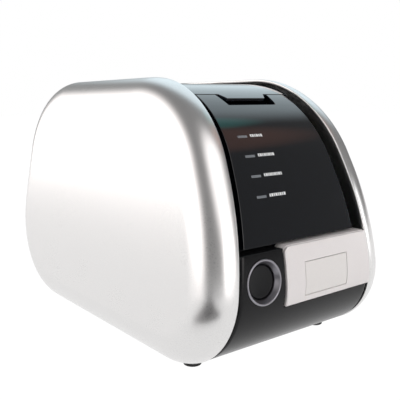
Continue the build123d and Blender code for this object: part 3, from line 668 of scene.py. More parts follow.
# ---- what each surface is made of ----
# Grain, flakes, tool marks and tracks are drawn coarser than real ones, so that a picture can hold them.
BUTTON_AXIS = (-0.0527, -0.1830, 0.0827)        # middle of the bezel's turning marks, in metres
FINISHES = {
    # pearl lacquer over silver basecoat: a soft, even sheen in which the flakes hardly show
    "silver_paint": Finish("silver_basecoat_lacquered", "DCDBDB", "E3E2E1", 0.28, 0.012, metallic=0.93,
                           coat=0.15, coat_roughness=0.16, pattern=Pattern.FLAKE, size=0.3, relief=0.0003),
    # the same paint on the tray: warmer and flatter, with hardly any reflection
    "tray_silver": Finish("silver_paint_sprayed", "E2DEDE", "E8E4E3", 0.4, metallic=0.15, coat=0.1,
                          coat_roughness=0.2, pattern=Pattern.FLAKE, size=0.3, relief=0.0012),
    # polished ABS: deep black with a hard, slightly wavy shine
    "black_gloss": Finish("abs_gloss_moulded", "05070B", "090C13", 0.07, 0.03, coat=0.6,
                          coat_roughness=0.03, size=9.0, relief=0.02),
    # spark-eroded ABS: even dark grey with a fine grain
    "black_satin": Finish("abs_satin_moulded", "16171A", "202124", 0.42, size=0.5, relief=0.02),
    # moulded nylon: dull black with a fine grain
    "switch_black": Finish("nylon_black_moulded", "101113", "1A1B1D", 0.5, size=0.6, relief=0.03),
    # smoked polycarbonate: unlit grey with a mild shine
    "lens_grey": Finish("polycarbonate_smoke_moulded", "6C7176", "7C8186", 0.25, coat=0.3, size=2.0,
                        relief=0.01),
    # moulded rubber: dead black, slightly dusty
    "rubber": Finish("rubber_moulded", "141414", "212121", 0.75, size=0.8, relief=0.05),
    # ground rubber: dark grey, with faint marks along the roller
    "roller_rubber": Finish("rubber_ground", "2B2C2E", "3A3B3D", 0.7, size=0.5, relief=0.04,
                            direction=(0.15, 1.0, 1.0)),
    # open cell foam: pitted, with no shine
    "foam": Finish("polyurethane_foam", "1C1D1F", "2E3033", 0.95, pattern=Pattern.CELLS, size=0.9,
                   relief=0.25),
    # zinc plated sheet: bright metal with large, faint spangles
    "sheet_steel": Finish("steel_zinc_plated", "A7ABAE", "B9BEC2", 0.36, metallic=1.0,
                          pattern=Pattern.SPANGLE, size=7.0, relief=0.004),
    # ground steel: bright metal with fine grinding marks
    "shaft_steel": Finish("steel_ground", "B8BABC", "CFD1D3", 0.2, metallic=1.0, pattern=Pattern.BRUSHED,
                          size=0.6, relief=0.005, direction=(1.0, 0.08, 0.08)),
    # black oxide steel: dark metal with a dull glint
    "screw_steel": Finish("steel_black_oxide", "3A3B3D", "4A4B4E", 0.4, metallic=1.0, size=0.5,
                          relief=0.01),
    # machined brass: warm yellow metal with tool marks
    "bush_brass": Finish("brass_machined", "B08D45", "C9A65A", 0.28, metallic=1.0, pattern=Pattern.BRUSHED,
                         size=0.5, relief=0.005, direction=(0.1, 1.0, 1.0)),
    # machined aluminium: pale metal with tool marks
    "pulley_aluminium": Finish("aluminium_machined", "B4B7BA", "C6C9CC", 0.34, metallic=1.0,
                               pattern=Pattern.BRUSHED, size=0.5, relief=0.006, direction=(1.0, 0.1, 0.1)),
    # powder coated steel: dull black with an orange peel
    "motor_black": Finish("steel_powder_coated", "1B1C1E", "2A2B2E", 0.55, size=0.7, relief=0.05),
    # diamond turned aluminium: facets as bright as a mirror
    "mirror_facets": Finish("aluminium_diamond_turned", "D8DADC", "DFE1E3", 0.04, 0.02, metallic=1.0,
                            size=4.0, relief=0.001),
    # polished glass: clear, with a sharp glint
    "clear_glass": Finish("glass_polished", "F2F6F5", "F6FAF9", 0.03, 0.02, ior=1.52, transmission=1.0,
                          size=10.0, relief=0.001),
    # board under solder mask: green with paler copper tracks
    "circuit_board": Finish("epoxy_board_solder_masked", "12492B", "2B7A4C", 0.35, coat=0.3,
                            pattern=Pattern.TRACKS, size=3.0, relief=0.03, direction=(0.7, 1.0, 1.0)),
}
# smoked acrylic lid: a cool blue-grey sheen over black
LID_GLOSS = Finish("acrylic_smoked_polished", "10161C", "182027", 0.1, 0.03, coat=0.8, coat_roughness=0.04,
                   ior=1.65, size=12.0, relief=0.02)
# lower front and button cap: black with a softer, dimmer shine than the panel above
LOWER_GLOSS = Finish("abs_semi_gloss_moulded", "0C0C0E", "131315", 0.24, 0.05, coat=0.04,
                     coat_roughness=0.2, specular=0.17, size=6.0, relief=0.015)
# lathe-cut bezel: concentric marks spread the light into a dark and a bright side
BEZEL = Finish("aluminium_turned", "86858B", "9E9CA2", 0.34, metallic=1.0, pattern=Pattern.LATHE,
               size=0.5, relief=0.012, centre=BUTTON_AXIS)
# silver film on the inlay: nearly the tray's colour, with no lacquer over it
INLAY_SILVER = Finish("silver_film_satin", "E0DDDB", "E6E3E1", 0.42, metallic=0.15, pattern=Pattern.FLAKE,
                      size=0.3, relief=0.003)
# white ink: flat, with a faint painted glow of its own (emission), so that it reads bright against the
# gloss
PRINT_GLOWING = Finish("ink_white_printed_glowing", "D9DBDC", "E6E8E9", 0.6, size=0.5, relief=0.01, glow=0.12)


def dress(piece: bpy.types.Object, finish: Finish, body: str = "frame",
          stands_for: Sequence[str] = ()) -> bpy.types.Object:
    """Gives a piece its finish and ties it to the frame.

    Args:
        piece: The finished mesh.
        finish: Its finish.
        body: The body that it moves with.
        stands_for: CAD nodes that it replaces.

    Returns:
        The same piece.
    """
    piece.data.materials.clear()
    piece.data.materials.append(finish.make())
    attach(piece, body)
    if stands_for:
        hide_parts(*stands_for)
    log.info("%s: %d faces on %s", piece.name, len(piece.data.polygons), body)
    return piece


# ---- geometry nodes ----
@dataclass
class Rule:
    """A Geometry Nodes tree with named sizes, run once and kept as a plain mesh.

    Attributes:
        name: Name of the tree.
    """

    name: str

    def __post_init__(self) -> None:
        """Starts an empty tree."""
        self.tree = bpy.data.node_groups.new(self.name, "GeometryNodeTree")
        self.tree.interface.new_socket("Geometry", in_out="INPUT", socket_type="NodeSocketGeometry")
        self.tree.interface.new_socket("Geometry", in_out="OUTPUT", socket_type="NodeSocketGeometry")
        self.start = self.tree.nodes.new("NodeGroupInput")
        self.values: dict[str, object] = {}

    def size(self, name: str, value: object) -> bpy.types.NodeSocket:
        """Adds a named input with its value.

        Args:
            name: Name of the input.
            value: Its value, whose type gives the socket's.

        Returns:
            The socket that carries it in the tree.
        """
        kinds = {int: "NodeSocketInt", float: "NodeSocketFloat", tuple: "NodeSocketVector",
                 bpy.types.Material: "NodeSocketMaterial"}
        socket = self.tree.interface.new_socket(name, in_out="INPUT", socket_type=kinds[type(value)])
        self.values[socket.identifier] = value
        return self.start.outputs[name]

    def add(self, kind: str, inputs: dict | None = None, **settings: object) -> bpy.types.Node:
        """Adds a node to this tree."""
        return add_node(self.tree, kind, inputs, **settings)

    def grow(self, name: str, result: bpy.types.NodeSocket, finish: Finish,
             seed: bpy.types.Object | None = None) -> bpy.types.Object:
        """Ends the tree in realised, finished geometry and runs it.

        Args:
            name: Name of the piece.
            result: The geometry to end on.
            finish: Its finish.
            seed: Object whose mesh the tree starts from; none starts it from an empty mesh.

        Returns:
            The piece, as a plain mesh.
        """
        coat = self.size("Finish", finish.make())
        real = self.add("GeometryNodeRealizeInstances", {0: result})
        done = self.add("GeometryNodeSetMaterial", {"Geometry": real.outputs[0], "Material": coat})
        end = self.tree.nodes.new("NodeGroupOutput")
        self.tree.links.new(done.outputs[0], end.inputs[0])
        piece = seed or to_object(bmesh.new(), name)
        piece.name = name
        modifier = piece.modifiers.new(self.name, "NODES")
        modifier.node_group = self.tree
        for identifier, value in self.values.items():
            modifier[identifier] = value
        return bake(piece)


def slat_rows(name: str, place: Matrix, count: int, pitch: float, bar: Sequence[float], round_room: float,
              finish: Finish) -> bpy.types.Object:
    """Rows of slats across an opening, each as long as a round opening leaves it.

    Args:
        name: Name of the piece.
        place: Middle of the opening: X along the slats, Y across them, Z outwards.
        count: Number of slats.
        pitch: Distance from slat to slat.
        bar: Length, height and depth of a slat.
        round_room: Radius that the slats are cut to; 0 leaves them all as long.
        finish: Their finish.

    Returns:
        The slats, as one mesh.
    """
    rule = Rule(name + "_rule")
    rows = rule.size("Slats", count)
    gap = rule.size("Pitch", pitch)
    size = rule.size("Slat", tuple(bar))
    room = rule.size("Radius", max(round_room, MM))
    reach = rule.add("ShaderNodeMath", {0: rows, 1: 1.0}, operation="SUBTRACT")
    first = rule.add("ShaderNodeMath", {0: reach.outputs[0], 1: gap}, operation="MULTIPLY")
    low = rule.add("ShaderNodeMath", {0: first.outputs[0], 1: -0.5}, operation="MULTIPLY")
    line = rule.add("GeometryNodeMeshLine", {
        "Count": rows,
        "Start Location": rule.add("ShaderNodeCombineXYZ", {"Y": low.outputs[0]}).outputs[0],
        "Offset": rule.add("ShaderNodeCombineXYZ", {"Y": gap}).outputs[0]})
    bar_mesh = rule.add("GeometryNodeMeshCube", {"Size": size})
    height = rule.add("ShaderNodeSeparateXYZ", {0: rule.add("GeometryNodeInputPosition").outputs[0]})
    share = rule.add("ShaderNodeMath", {0: height.outputs["Y"], 1: room}, operation="DIVIDE")
    square = rule.add("ShaderNodeMath", {0: share.outputs[0], 1: share.outputs[0]}, operation="MULTIPLY")
    left = rule.add("ShaderNodeMath", {0: 1.0, 1: square.outputs[0]}, operation="SUBTRACT")
    half = rule.add("ShaderNodeMath", {0: left.outputs[0]}, operation="SQRT")
    grow = rule.add("ShaderNodeCombineXYZ", {
        "X": half.outputs[0] if round_room else 1.0, "Y": 1.0, "Z": 1.0})
    bars = rule.add("GeometryNodeInstanceOnPoints", {
        "Points": line.outputs[0], "Instance": bar_mesh.outputs[0], "Scale": grow.outputs[0]})
    piece = rule.grow(name, bars.outputs[0], finish)
    piece.data.transform(place)
    return round_edges(piece, 0.3 * MM, 2)


def ring_of_heads(name: str, place: Matrix, across: tuple[float, float], radius: float, height: float,
                  finish: Finish) -> bpy.types.Object:
    """Four domed screw heads with a cross recess, at the corners of a rectangle.

    Args:
        name: Name of the piece.
        place: Middle of the rectangle, with Z outwards.
        across: Distance between the screws, along X and Y.
        radius: Radius of a head.
        height: Height of a head.
        finish: Their finish.

    Returns:
        The heads, as one mesh.
    """
    rule = Rule(name + "_rule")
    wide, tall = rule.size("Across X", across[0]), rule.size("Across Y", across[1])
    corners = rule.add("GeometryNodeMeshGrid", {"Size X": wide, "Size Y": tall, "Vertices X": 2,
                                                "Vertices Y": 2})
    rise = rule.size("Height", height)
    head = rule.add("GeometryNodeMeshCone", {
        "Vertices": 32, "Radius Top": rule.size("Top radius", radius * 0.72),
        "Radius Bottom": rule.size("Radius", radius), "Depth": rise})
    slot_size = rule.size("Recess", (radius * 1.1, radius * 0.24, height))
    bars = [rule.add("GeometryNodeMeshCube", {"Size": slot_size}).outputs[0]]
    bars.append(rule.add("GeometryNodeTransform", {
        "Geometry": bars[0], "Rotation": (0.0, 0.0, math.pi / 2)}).outputs[0])
    lifted = [rule.add("GeometryNodeTransform", {
        "Geometry": bar, "Translation": (0.0, 0.0, height * 1.1)}).outputs[0] for bar in bars]
    cut = rule.add("GeometryNodeMeshBoolean", {"Mesh 1": head.outputs["Mesh"]}, operation="DIFFERENCE",
                   solver="EXACT")
    for bar in lifted:
        rule.tree.links.new(bar, cut.inputs["Mesh 2"])
    screws = rule.add("GeometryNodeInstanceOnPoints", {
        "Points": corners.outputs[0], "Instance": cut.outputs["Mesh"]})
    piece = rule.grow(name, screws.outputs[0], finish)
    piece.data.transform(place)
    return piece


# ---- the case ----
@dataclass
class SideCover:
    """One silver side cover: a deep dish with a fully rounded edge, like a shallow bowl.

    Attributes:
        shell: The envelope whose rim it follows.
        depth: Depth from its rim to its flat face.
        edge_radius: Radius of the rounding all round.
        wall: Thickness of its wall.
        lip: Rounding of the rim's own edge.
        reach: How far the flat face is laid out in rings before its middle.
        steps: Faces across its rounding.
        spacing: Largest distance between points along its rim.
    """

    shell: Shell
    depth: float = 29.0 * MM
    edge_radius: float = 28.5 * MM
    wall: float = 3.0 * MM
    lip: float = 0.7 * MM
    reach: float = 60.0 * MM
    steps: int = 22
    spacing: float = 3.2 * MM

    def profile(self) -> list[tuple[float, float]]:
        """Cross-section from the middle outside, over the edge and the rim, to the middle inside.

        Returns:
            Inset from the outline and height over the rim plane, for each ring.
        """
        inner = self.edge_radius - self.wall
        turns = [math.pi / 2 * k / self.steps for k in range(self.steps + 1)]
        flat = [self.edge_radius + (self.reach - self.edge_radius) * share
                for share in (1.0, 0.6, 0.3, 0.1)]
        rounded = [(self.edge_radius * (1 - math.cos(a)),
                    self.depth - self.edge_radius * (1 - math.sin(a))) for a in reversed(turns)]
        rim = [(0.0, self.lip), (self.lip * 0.3, self.lip * 0.3), (self.lip, 0.0),
               (self.wall - self.lip, 0.0), (self.wall, self.lip)]
        hollow = [(self.wall + inner * (1 - math.cos(a)),
                   self.depth - self.wall - inner * (1 - math.sin(a))) for a in turns[1:]]
        return [*[(inset, self.depth) for inset in flat], *rounded[:-1], *rim, *hollow,
                (self.reach, self.depth - self.wall)]

    def build(self, name: str, side: int) -> bpy.types.Object:
        """Makes the cover.

        Args:
            name: Name of the piece.
            side: 1 for the cover on +X, -1 for the one on -X.

        Returns:
            The closed shell.
        """
        outline, tilt = self.shell.rim, self.shell.tilt
        steps = self.shell.rows(0, outline.length, self.spacing)[:-1]
        out = Vector((side * math.cos(tilt), 0, math.sin(tilt)))
        up = Vector((-side * math.sin(tilt), 0, math.cos(tilt)))
        foot = Vector((side * self.shell.half_width, 0, self.shell.floor))
        mesh = bmesh.new()
        rings = []
        for inset, height in self.profile():
            spots = [outline.at(along, inset) for along in steps]
            rings.append([mesh.verts.new(foot + Vector((0, y, 0)) + up * z + out * height)
                          for y, z in spots])
        close_rings(mesh, rings)
        piece = to_object(mesh, name)
        piece.modifiers.new("shade", "WEIGHTED_NORMAL")
        return bake(piece)

    def make(self) -> None:
        """Builds and dresses both covers."""
        paint = FINISHES["silver_paint"]
        for side, word in ((1, "right"), (-1, "left")):
            dress(self.build(f"{word}_cover", side), paint,
                  stands_for=[f"{word}_side_cover"])


@dataclass
class LowerFront:
    """Black lower front with the tray's opening, and the power button's bezel and cap."""

    shell: Shell
    inset: float = 0.3 * MM
    thickness: float = 6.0 * MM
    side: float = 0.8 * MM
    top: float = 106.1 * MM
    ledge_depth: float = 15.0 * MM
    ledge_setback: float = 1.2 * MM
    ledge_thickness: float = 2.4 * MM
    rear: float = -136.3 * MM
    tray_left: float = -28.5 * MM
    tray_bottom: float = 57.5 * MM
    tray_gap: float = 0.8 * MM
    button_x: float = -52.7 * MM
    button_z: float = 82.7 * MM
    hole: float = 17.4 * MM
    hole_margin: float = 1.5 * MM
    hole_steps: int = 12
    ring_radius: float = 18.75 * MM
    cap_radius: float = 14.1 * MM
    cap_recess: float = 4.0 * MM
    cap_dish: float = 0.7 * MM
    dish_share: float = 0.86
    cap_height: float = 6.0 * MM
    stem_radius: float = 2.5 * MM
    stem_length: float = 6.0 * MM
    lip_height: float = 0.8 * MM
    collar_radius: float = 16.4 * MM
    collar_depth: float = 13.8 * MM

    def panel(self) -> bpy.types.Object:
        """Builds the panel, cut away for the tray and the button."""
        outline = self.shell.outline
        start = outline.find(0, self.rear, 0, outline.front, self.inset)
        end = outline.front_at(self.top, self.inset)
        cut_row = outline.front_at(self.tray_bottom - self.tray_gap, self.inset)
        cut_x = self.tray_left - self.tray_gap
        centre = outline.front_at(self.button_z, self.inset)
        around = hole_lines(self.hole, self.hole_margin, self.hole_steps)
        rows = sorted([*self.shell.rows(start, centre + around[0], stops=[cut_row]),
                       *[centre + a for a in around[1:]], *self.shell.rows(centre + around[-1], end)[1:]])
        under_tray = [0, 40 * MM, 72 * MM]
        columns = [-EDGE, *[self.button_x + a for a in around], cut_x, *under_tray, EDGE]

        def keep(x: float, along: float) -> bool:
            """Leaves out the tray's room and the button's hole."""
            in_tray = x > cut_x and along > cut_row
            in_hole = max(abs(x - self.button_x), abs(along - centre)) < self.hole
            return not in_tray and not in_hole

        bend = round_hole(self.button_x, centre, self.hole, self.hole_margin)
        skin = Skin(self.shell, rows, columns, self.inset, self.thickness, side_round=4.5 * MM,
                    end_round=0.9 * MM, keep=keep, bend=bend)
        return skin.build("lower_front")

    def ledge(self) -> bpy.types.Object:
        """Builds the flat top of the panel's left part, behind its front edge."""
        outline, thickness = self.shell.outline, self.ledge_thickness
        row = outline.front_at(self.top - thickness, self.inset)
        end = outline.front_at(self.top, self.inset)
        y_front, _ = outline.at(row, self.inset + self.ledge_setback)
        y_rear, _ = outline.at(end, self.ledge_depth)
        left = -self.shell.half(self.top, self.side)
        right = self.tray_left - self.tray_gap
        place = Matrix.Translation(((left + right) / 2, (y_front + y_rear) / 2, self.top - thickness / 2))
        size = (right - left, y_rear - y_front, thickness)
        return solid_box("lower_front_ledge", place, size, 0.3 * MM)

    def button_frame(self) -> Matrix:
        """Frame on the panel's surface at the button."""
        along = self.shell.outline.front_at(self.button_z, self.inset)
        return self.shell.outline.place(along, self.inset, self.button_x)

    def bezel(self) -> bpy.types.Object:
        """Builds the button's bezel: a thin outer lip and a funnel down to the cap."""
        lip, crest = self.ring_radius, self.lip_height
        inner = self.cap_radius + 0.3 * MM
        profile = [(lip, -0.4 * MM), (lip, 0.35 * MM), (lip - 0.5 * MM, crest), (lip - 1.3 * MM, crest),
                   (lip - 1.9 * MM, 0.35 * MM), (inner + 0.5 * MM, -self.cap_recess + 0.8 * MM),
                   (inner, -self.cap_recess), (inner, -self.collar_depth),
                   (self.collar_radius, -self.collar_depth), (self.collar_radius, -0.4 * MM)]
        return turned("button_bezel", profile, self.button_frame(), 128, 0.16 * MM)

    def cap(self) -> bpy.types.Object:
        """Builds the button's cap, slightly dished, with its stem."""
        deep = -self.cap_recess
        under, end = deep - self.cap_height, deep - self.cap_height - self.stem_length
        rings = 10
        dish = [(self.cap_radius * self.dish_share * k / rings,
                 deep - self.cap_dish * (1 - (k / rings) ** 2)) for k in range(rings + 1)]
        profile = [*dish, (self.cap_radius - 1.1 * MM, deep), (self.cap_radius, deep - 0.9 * MM),
                   (self.cap_radius, under), (self.stem_radius, under), (self.stem_radius, end), (0, end)]
        return turned("button_cap", profile, self.button_frame(), 128, 0.2 * MM)

    def make(self) -> None:
        """Builds and dresses the panel and the button."""
        dress(self.panel(), LOWER_GLOSS, stands_for=["lower_front_panel"])
        dress(self.ledge(), LOWER_GLOSS)
        dress(self.bezel(), BEZEL, stands_for=["button_ring"])
        dress(self.cap(), LOWER_GLOSS, "button", ["power_button"])


@dataclass
class Tray:
    """Silver front of the plate tray, with its ledge and its inlay."""

    shell: Shell
    left: float = -28.5 * MM
    bottom: float = 57.5 * MM
    top: float = 107.5 * MM
    proud: float = 1.5 * MM
    thickness: float = 3.0 * MM
    side: float = 0.8 * MM
    corner: float = 6.0 * MM
    ledge: float = 12.0 * MM
    wall: float = 2.5 * MM
    inlay_x: float = 20.3 * MM
    inlay_z: float = 77.5 * MM
    inlay_width: float = 53.2 * MM
    inlay_height: float = 28.4 * MM
    inlay_depth: float = 1.2 * MM
    groove: float = 0.45 * MM
    pocket_skin: float = 1.4 * MM

    def corner_bend(self, top_row: float) -> Callable[[float, float, float], tuple[float, float, float]]:
        """Makes the function that rounds the plan at the top left corner.

        Args:
            top_row: Distance along the outline of the front's top edge.

        Returns:
            A bend for Skin.
        """
        centre_x, centre_row = self.left + self.corner, top_row - self.corner

        def bend(x: float, along: float, depth: float) -> tuple[float, float, float]:
            """Maps the corner's square onto a quarter disc."""
            dx, dy = x - centre_x, along - centre_row
            if dx < -1e-7 and dy > 1e-7:
                grow = max(-dx, dy) / math.hypot(dx, dy)
                return centre_x + dx * grow, centre_row + dy * grow, depth
            return x, along, depth
        return bend

    def face(self) -> bpy.types.Object:
        """Builds the front sheet with the inlay's pocket cut through it."""
        outline = self.shell.outline
        low, high = (outline.front_at(z, -self.proud) for z in (self.bottom, self.top))
        pocket_x = [self.inlay_x + side * (self.inlay_width / 2 + self.groove) for side in (-1, 1)]
        pocket_row = [outline.front_at(self.inlay_z + side * (self.inlay_height / 2 + self.groove),
                                       -self.proud) for side in (-1, 1)]
        steps = [self.corner * k / 6 for k in range(7)]
        rows = self.shell.rows(low, high, 3 * MM, [*pocket_row, *[high - s for s in steps]])
        columns = [*[self.left + s for s in steps], *pocket_x, 0, 20 * MM, 70 * MM, EDGE]

        def keep(x: float, along: float) -> bool:
            """Leaves out the inlay's pocket."""
            return not (pocket_x[0] < x < pocket_x[1] and pocket_row[0] < along < pocket_row[1])

        return Skin(self.shell, rows, sorted(columns), -self.proud, self.thickness, side_round=0.9 * MM,
                    end_round=0.9 * MM, fine_round=0.25 * MM, keep=keep,
                    bend=self.corner_bend(high)).build("tray_face")

    def backing(self) -> bpy.types.Object:
        """Builds the floor of the inlay's pocket, which is dressed black: painted shade in the groove round
        the inlay.
        """
        outline = self.shell.outline
        half_width = self.inlay_width / 2 + 2 * self.groove
        half_height = self.inlay_height / 2 + 2 * self.groove
        inset = -self.proud + self.inlay_depth + 0.1 * MM
        rows = self.shell.rows(outline.front_at(self.inlay_z - half_height, inset),
                               outline.front_at(self.inlay_z + half_height, inset))
        columns = [self.inlay_x - half_width, self.inlay_x + half_width]
        return Skin(self.shell, rows, columns, inset, self.pocket_skin, side_round=0.1 * MM,
                    end_round=0.1 * MM, fine_round=0.1 * MM).build("tray_pocket_painted_shade")

    def inlay(self) -> bpy.types.Object:
        """Builds the inlay plate."""
        outline = self.shell.outline
        inset = -self.proud + 0.1 * MM
        rows = self.shell.rows(outline.front_at(self.inlay_z - self.inlay_height / 2, inset),
                               outline.front_at(self.inlay_z + self.inlay_height / 2, inset))
        columns = [self.inlay_x - self.inlay_width / 2, self.inlay_x, self.inlay_x + self.inlay_width / 2]
        return Skin(self.shell, rows, columns, inset, self.inlay_depth - 0.1 * MM, side_round=0.35 * MM,
                    end_round=0.35 * MM, fine_round=0.2 * MM).build("tray_inlay_plate")

    def walls(self) -> bpy.types.Object:
        """Builds the ledge on top and the wall on the left, as one strip round the corner."""
        outline = self.shell.outline
        corner_x, corner_z = self.left + self.corner, self.top - self.corner
        rise, turns = 6, 10
        stations = [(self.left, self.bottom + (corner_z - self.bottom) * k / rise, 1.0, 0.0)
                    for k in range(rise + 1)]
        for k in range(1, turns):
            across, up = (pick(math.pi / 2 * k / turns) for pick in (math.cos, math.sin))
            stations.append((self.left + self.corner * (1 - across), self.top - self.corner * (1 - up),
                             across, -up))
        stations += [(x, self.top, 0.0, -1.0) for x in (corner_x, 0.0, 40 * MM, EDGE)]
        near, far = self.thickness - self.proud - 0.2 * MM, self.ledge
        mesh = bmesh.new()
        rings = []
        for x, z, in_x, in_z in stations:
            ring = []
            for inset, deep in ((near, 0.0), (far, 0.0), (far, self.wall), (near, self.wall)):
                spot_x, spot_z = x + in_x * deep, z + in_z * deep
                y, _ = outline.at(outline.front_at(spot_z, inset), inset)
                ring.append(mesh.verts.new((min(self.shell.half(spot_z, self.side), spot_x), y, spot_z)))
            rings.append(ring)
        close_rings(mesh, rings)
        return round_edges(to_object(mesh, "tray_walls"), 0.2 * MM, 2)

    def make(self) -> None:
        """Builds and dresses the tray's front."""
        silver = FINISHES["tray_silver"]
        dress(self.face(), silver, "tray", ["tray_front"])
        dress(self.walls(), silver, "tray")
        # the pocket floor is black satin, as painted shade in the thin groove round the inlay
        dress(self.backing(), FINISHES["black_satin"], "tray")
        dress(self.inlay(), INLAY_SILVER, "tray", ["tray_inlay"])


@dataclass
class UpperFront:
    """Raised gloss panel over the tray, the sunk frame round it, its lamps and its legends."""

    shell: Shell
    inset: float = 5.3 * MM
    side: float = 9.5 * MM
    thickness: float = 8.6 * MM
    bottom: float = 109.5 * MM
    rear: float = -94.3 * MM
    frame_bottom: float = 106.3 * MM
    frame_inset: float = 13.0 * MM
    wall_insets: tuple[float, float] = (8.3 * MM, 15.0 * MM)
    wall_thickness: float = 2.0 * MM
    frame_skin: float = 2.5 * MM
    scoop_front: float = -110.5 * MM
    scoop_depth: float = 6.6 * MM
    scoop_slope: float = 11.0 * MM
    scoop_half_front: float = 28.4 * MM
    scoop_half_rear: float = 31.0 * MM
    scoop_wall: float = 0.5 * MM
    scoop_floor: float = 1.2 * MM
    lamp_x: float = -37.2 * MM
    lamp_width: float = 10.9 * MM
    lamp_height: float = 2.3 * MM
    lamp_depth: float = 3.0 * MM
    lamp_proud: float = 0.15 * MM
    legend_start: float = 9.8 * MM
    legend_pitch: float = 2.4 * MM
    legend_height: float = 2.6 * MM
    legend_widths: tuple[float, float] = (1.3 * MM, 1.9 * MM)
    legend_rise: float = 0.5 * MM
    legend_bars: Sequence[int] = (6, 8, 9, 8)
    ink: float = 0.12 * MM
    lamps: Sequence[float] = (194.9 * MM, 179.3 * MM, 163.4 * MM, 147.2 * MM)

    def pad(self) -> bpy.types.Object:
        """Builds the raised panel, hollowed for a fingertip under the lid."""
        outline = self.shell.outline
        low, high = outline.front_at(self.bottom, self.inset), outline.top_at(self.rear, self.inset)
        front = outline.top_at(self.scoop_front, self.inset)
        slope = front + self.scoop_slope
        stops = [front, front + 0.3 * MM, slope, high - 1.5 * MM]
        rows = [low, *self.shell.rows(low + 4 * MM, high, stops=stops)]
        half, wall = self.scoop_half_front, self.scoop_wall
        columns = [-EDGE, -half - wall, -half, 0.0, half, half + wall, EDGE]

        def bend(x: float, along: float, depth: float) -> tuple[float, float, float]:
            """Sinks the floor of the hollow and spreads its sides."""
            share = min(1.0, max(0.0, (along - front) / (high - front)))
            wider = (self.scoop_half_rear - half) * share
            if wall < abs(x) < EDGE:
                x += math.copysign(wider, x)
            inside = abs(x) < half + wider + wall / 2
            if depth == 0 and inside:
                depth = self.scoop_depth * min(1.0, max(0.0, (along - front) / (slope - front)))
            elif depth > 0 and along > front - 2 * MM:
                depth += self.scoop_floor
            return x, along, depth

        return Skin(self.shell, rows, columns, self.inset, self.thickness, self.side, side_round=3.2 * MM,
                    end_round=1.6 * MM, fine_round=0.3 * MM, bend=bend).build("upper_front_pad")

    def frame(self) -> bpy.types.Object:
        """Builds the sunk frame that shows beside and below the raised panel."""
        outline = self.shell.outline
        rows = self.shell.rows(outline.front_at(self.frame_bottom, self.frame_inset),
                               outline.top_at(self.rear, self.frame_inset))
        columns = [-EDGE, -60 * MM, 0.0, 60 * MM, EDGE]
        return Skin(self.shell, rows, columns, self.frame_inset, self.frame_skin).build("upper_frame")

    def end_walls(self) -> list[bpy.types.Object]:
        """Builds the walls that close the channels beside the raised panel, under the lid."""
        outline = self.shell.outline
        made = []
        for side, word in ((-1, "left"), (1, "right")):
            top, low = (outline.at(outline.top_at(self.rear, inset), inset)[1]
                        for inset in self.wall_insets)
            outer, inner = self.shell.half(top, 0.9 * MM), self.shell.half(top, self.side - 0.5 * MM)
            place = Matrix.Translation((side * (outer + inner) / 2, self.rear - self.wall_thickness / 2,
                                        (top + low) / 2))
            size = (outer - inner, self.wall_thickness, top - low)
            made.append(solid_box(f"{word}_channel_end", place, size, 0.3 * MM))
        return made

    def lenses(self) -> bpy.types.Object:
        """Builds the four bar lenses, as one piece."""
        outline, deep = self.shell.outline, self.lamp_depth
        made = []
        for index, z in enumerate(self.lamps):
            place = outline.place(outline.front_at(z, self.inset), self.inset, self.lamp_x)
            place = place @ Matrix.Translation((0, 0, self.lamp_proud - deep / 2))
            made.append(solid_box(f"lens_{index}", place, (self.lamp_width, self.lamp_height, deep),
                                  0.35 * MM, 3))
        return join("lamp_lenses", made)

    def legends(self) -> bpy.types.Object:
        """Builds a printed row of plain bars beside each lamp, in place of a word."""
        outline, thin = self.shell.outline, self.ink
        made = []
        for index, (z, count) in enumerate(zip(self.lamps, self.legend_bars)):
            along = outline.front_at(z + self.legend_rise, self.inset)
            for bar in range(count):
                x = self.lamp_x + self.legend_start + bar * self.legend_pitch
                place = outline.place(along, self.inset, x)
                place = place @ Matrix.Translation((0, 0, thin / 2 - 0.03 * MM))
                size = (self.legend_widths[bar % 2], self.legend_height, thin)
                made.append(solid_box(f"bar_{index}_{bar}", place, size, 0.04 * MM, 1))
        return join("lamp_legends", made)

    def make(self) -> None:
        """Builds and dresses the upper front."""
        gloss, satin = FINISHES["black_gloss"], FINISHES["black_satin"]
        dress(self.pad(), gloss, stands_for=["front_pad"])
        dress(self.frame(), gloss, stands_for=["upper_front_frame"])
        for wall in self.end_walls():
            dress(wall, satin)
        dress(self.lenses(), FINISHES["lens_grey"], stands_for=["status_lenses"])
        # the legends' ink glows faintly: painted light, not a lamp
        dress(self.legends(), PRINT_GLOWING)


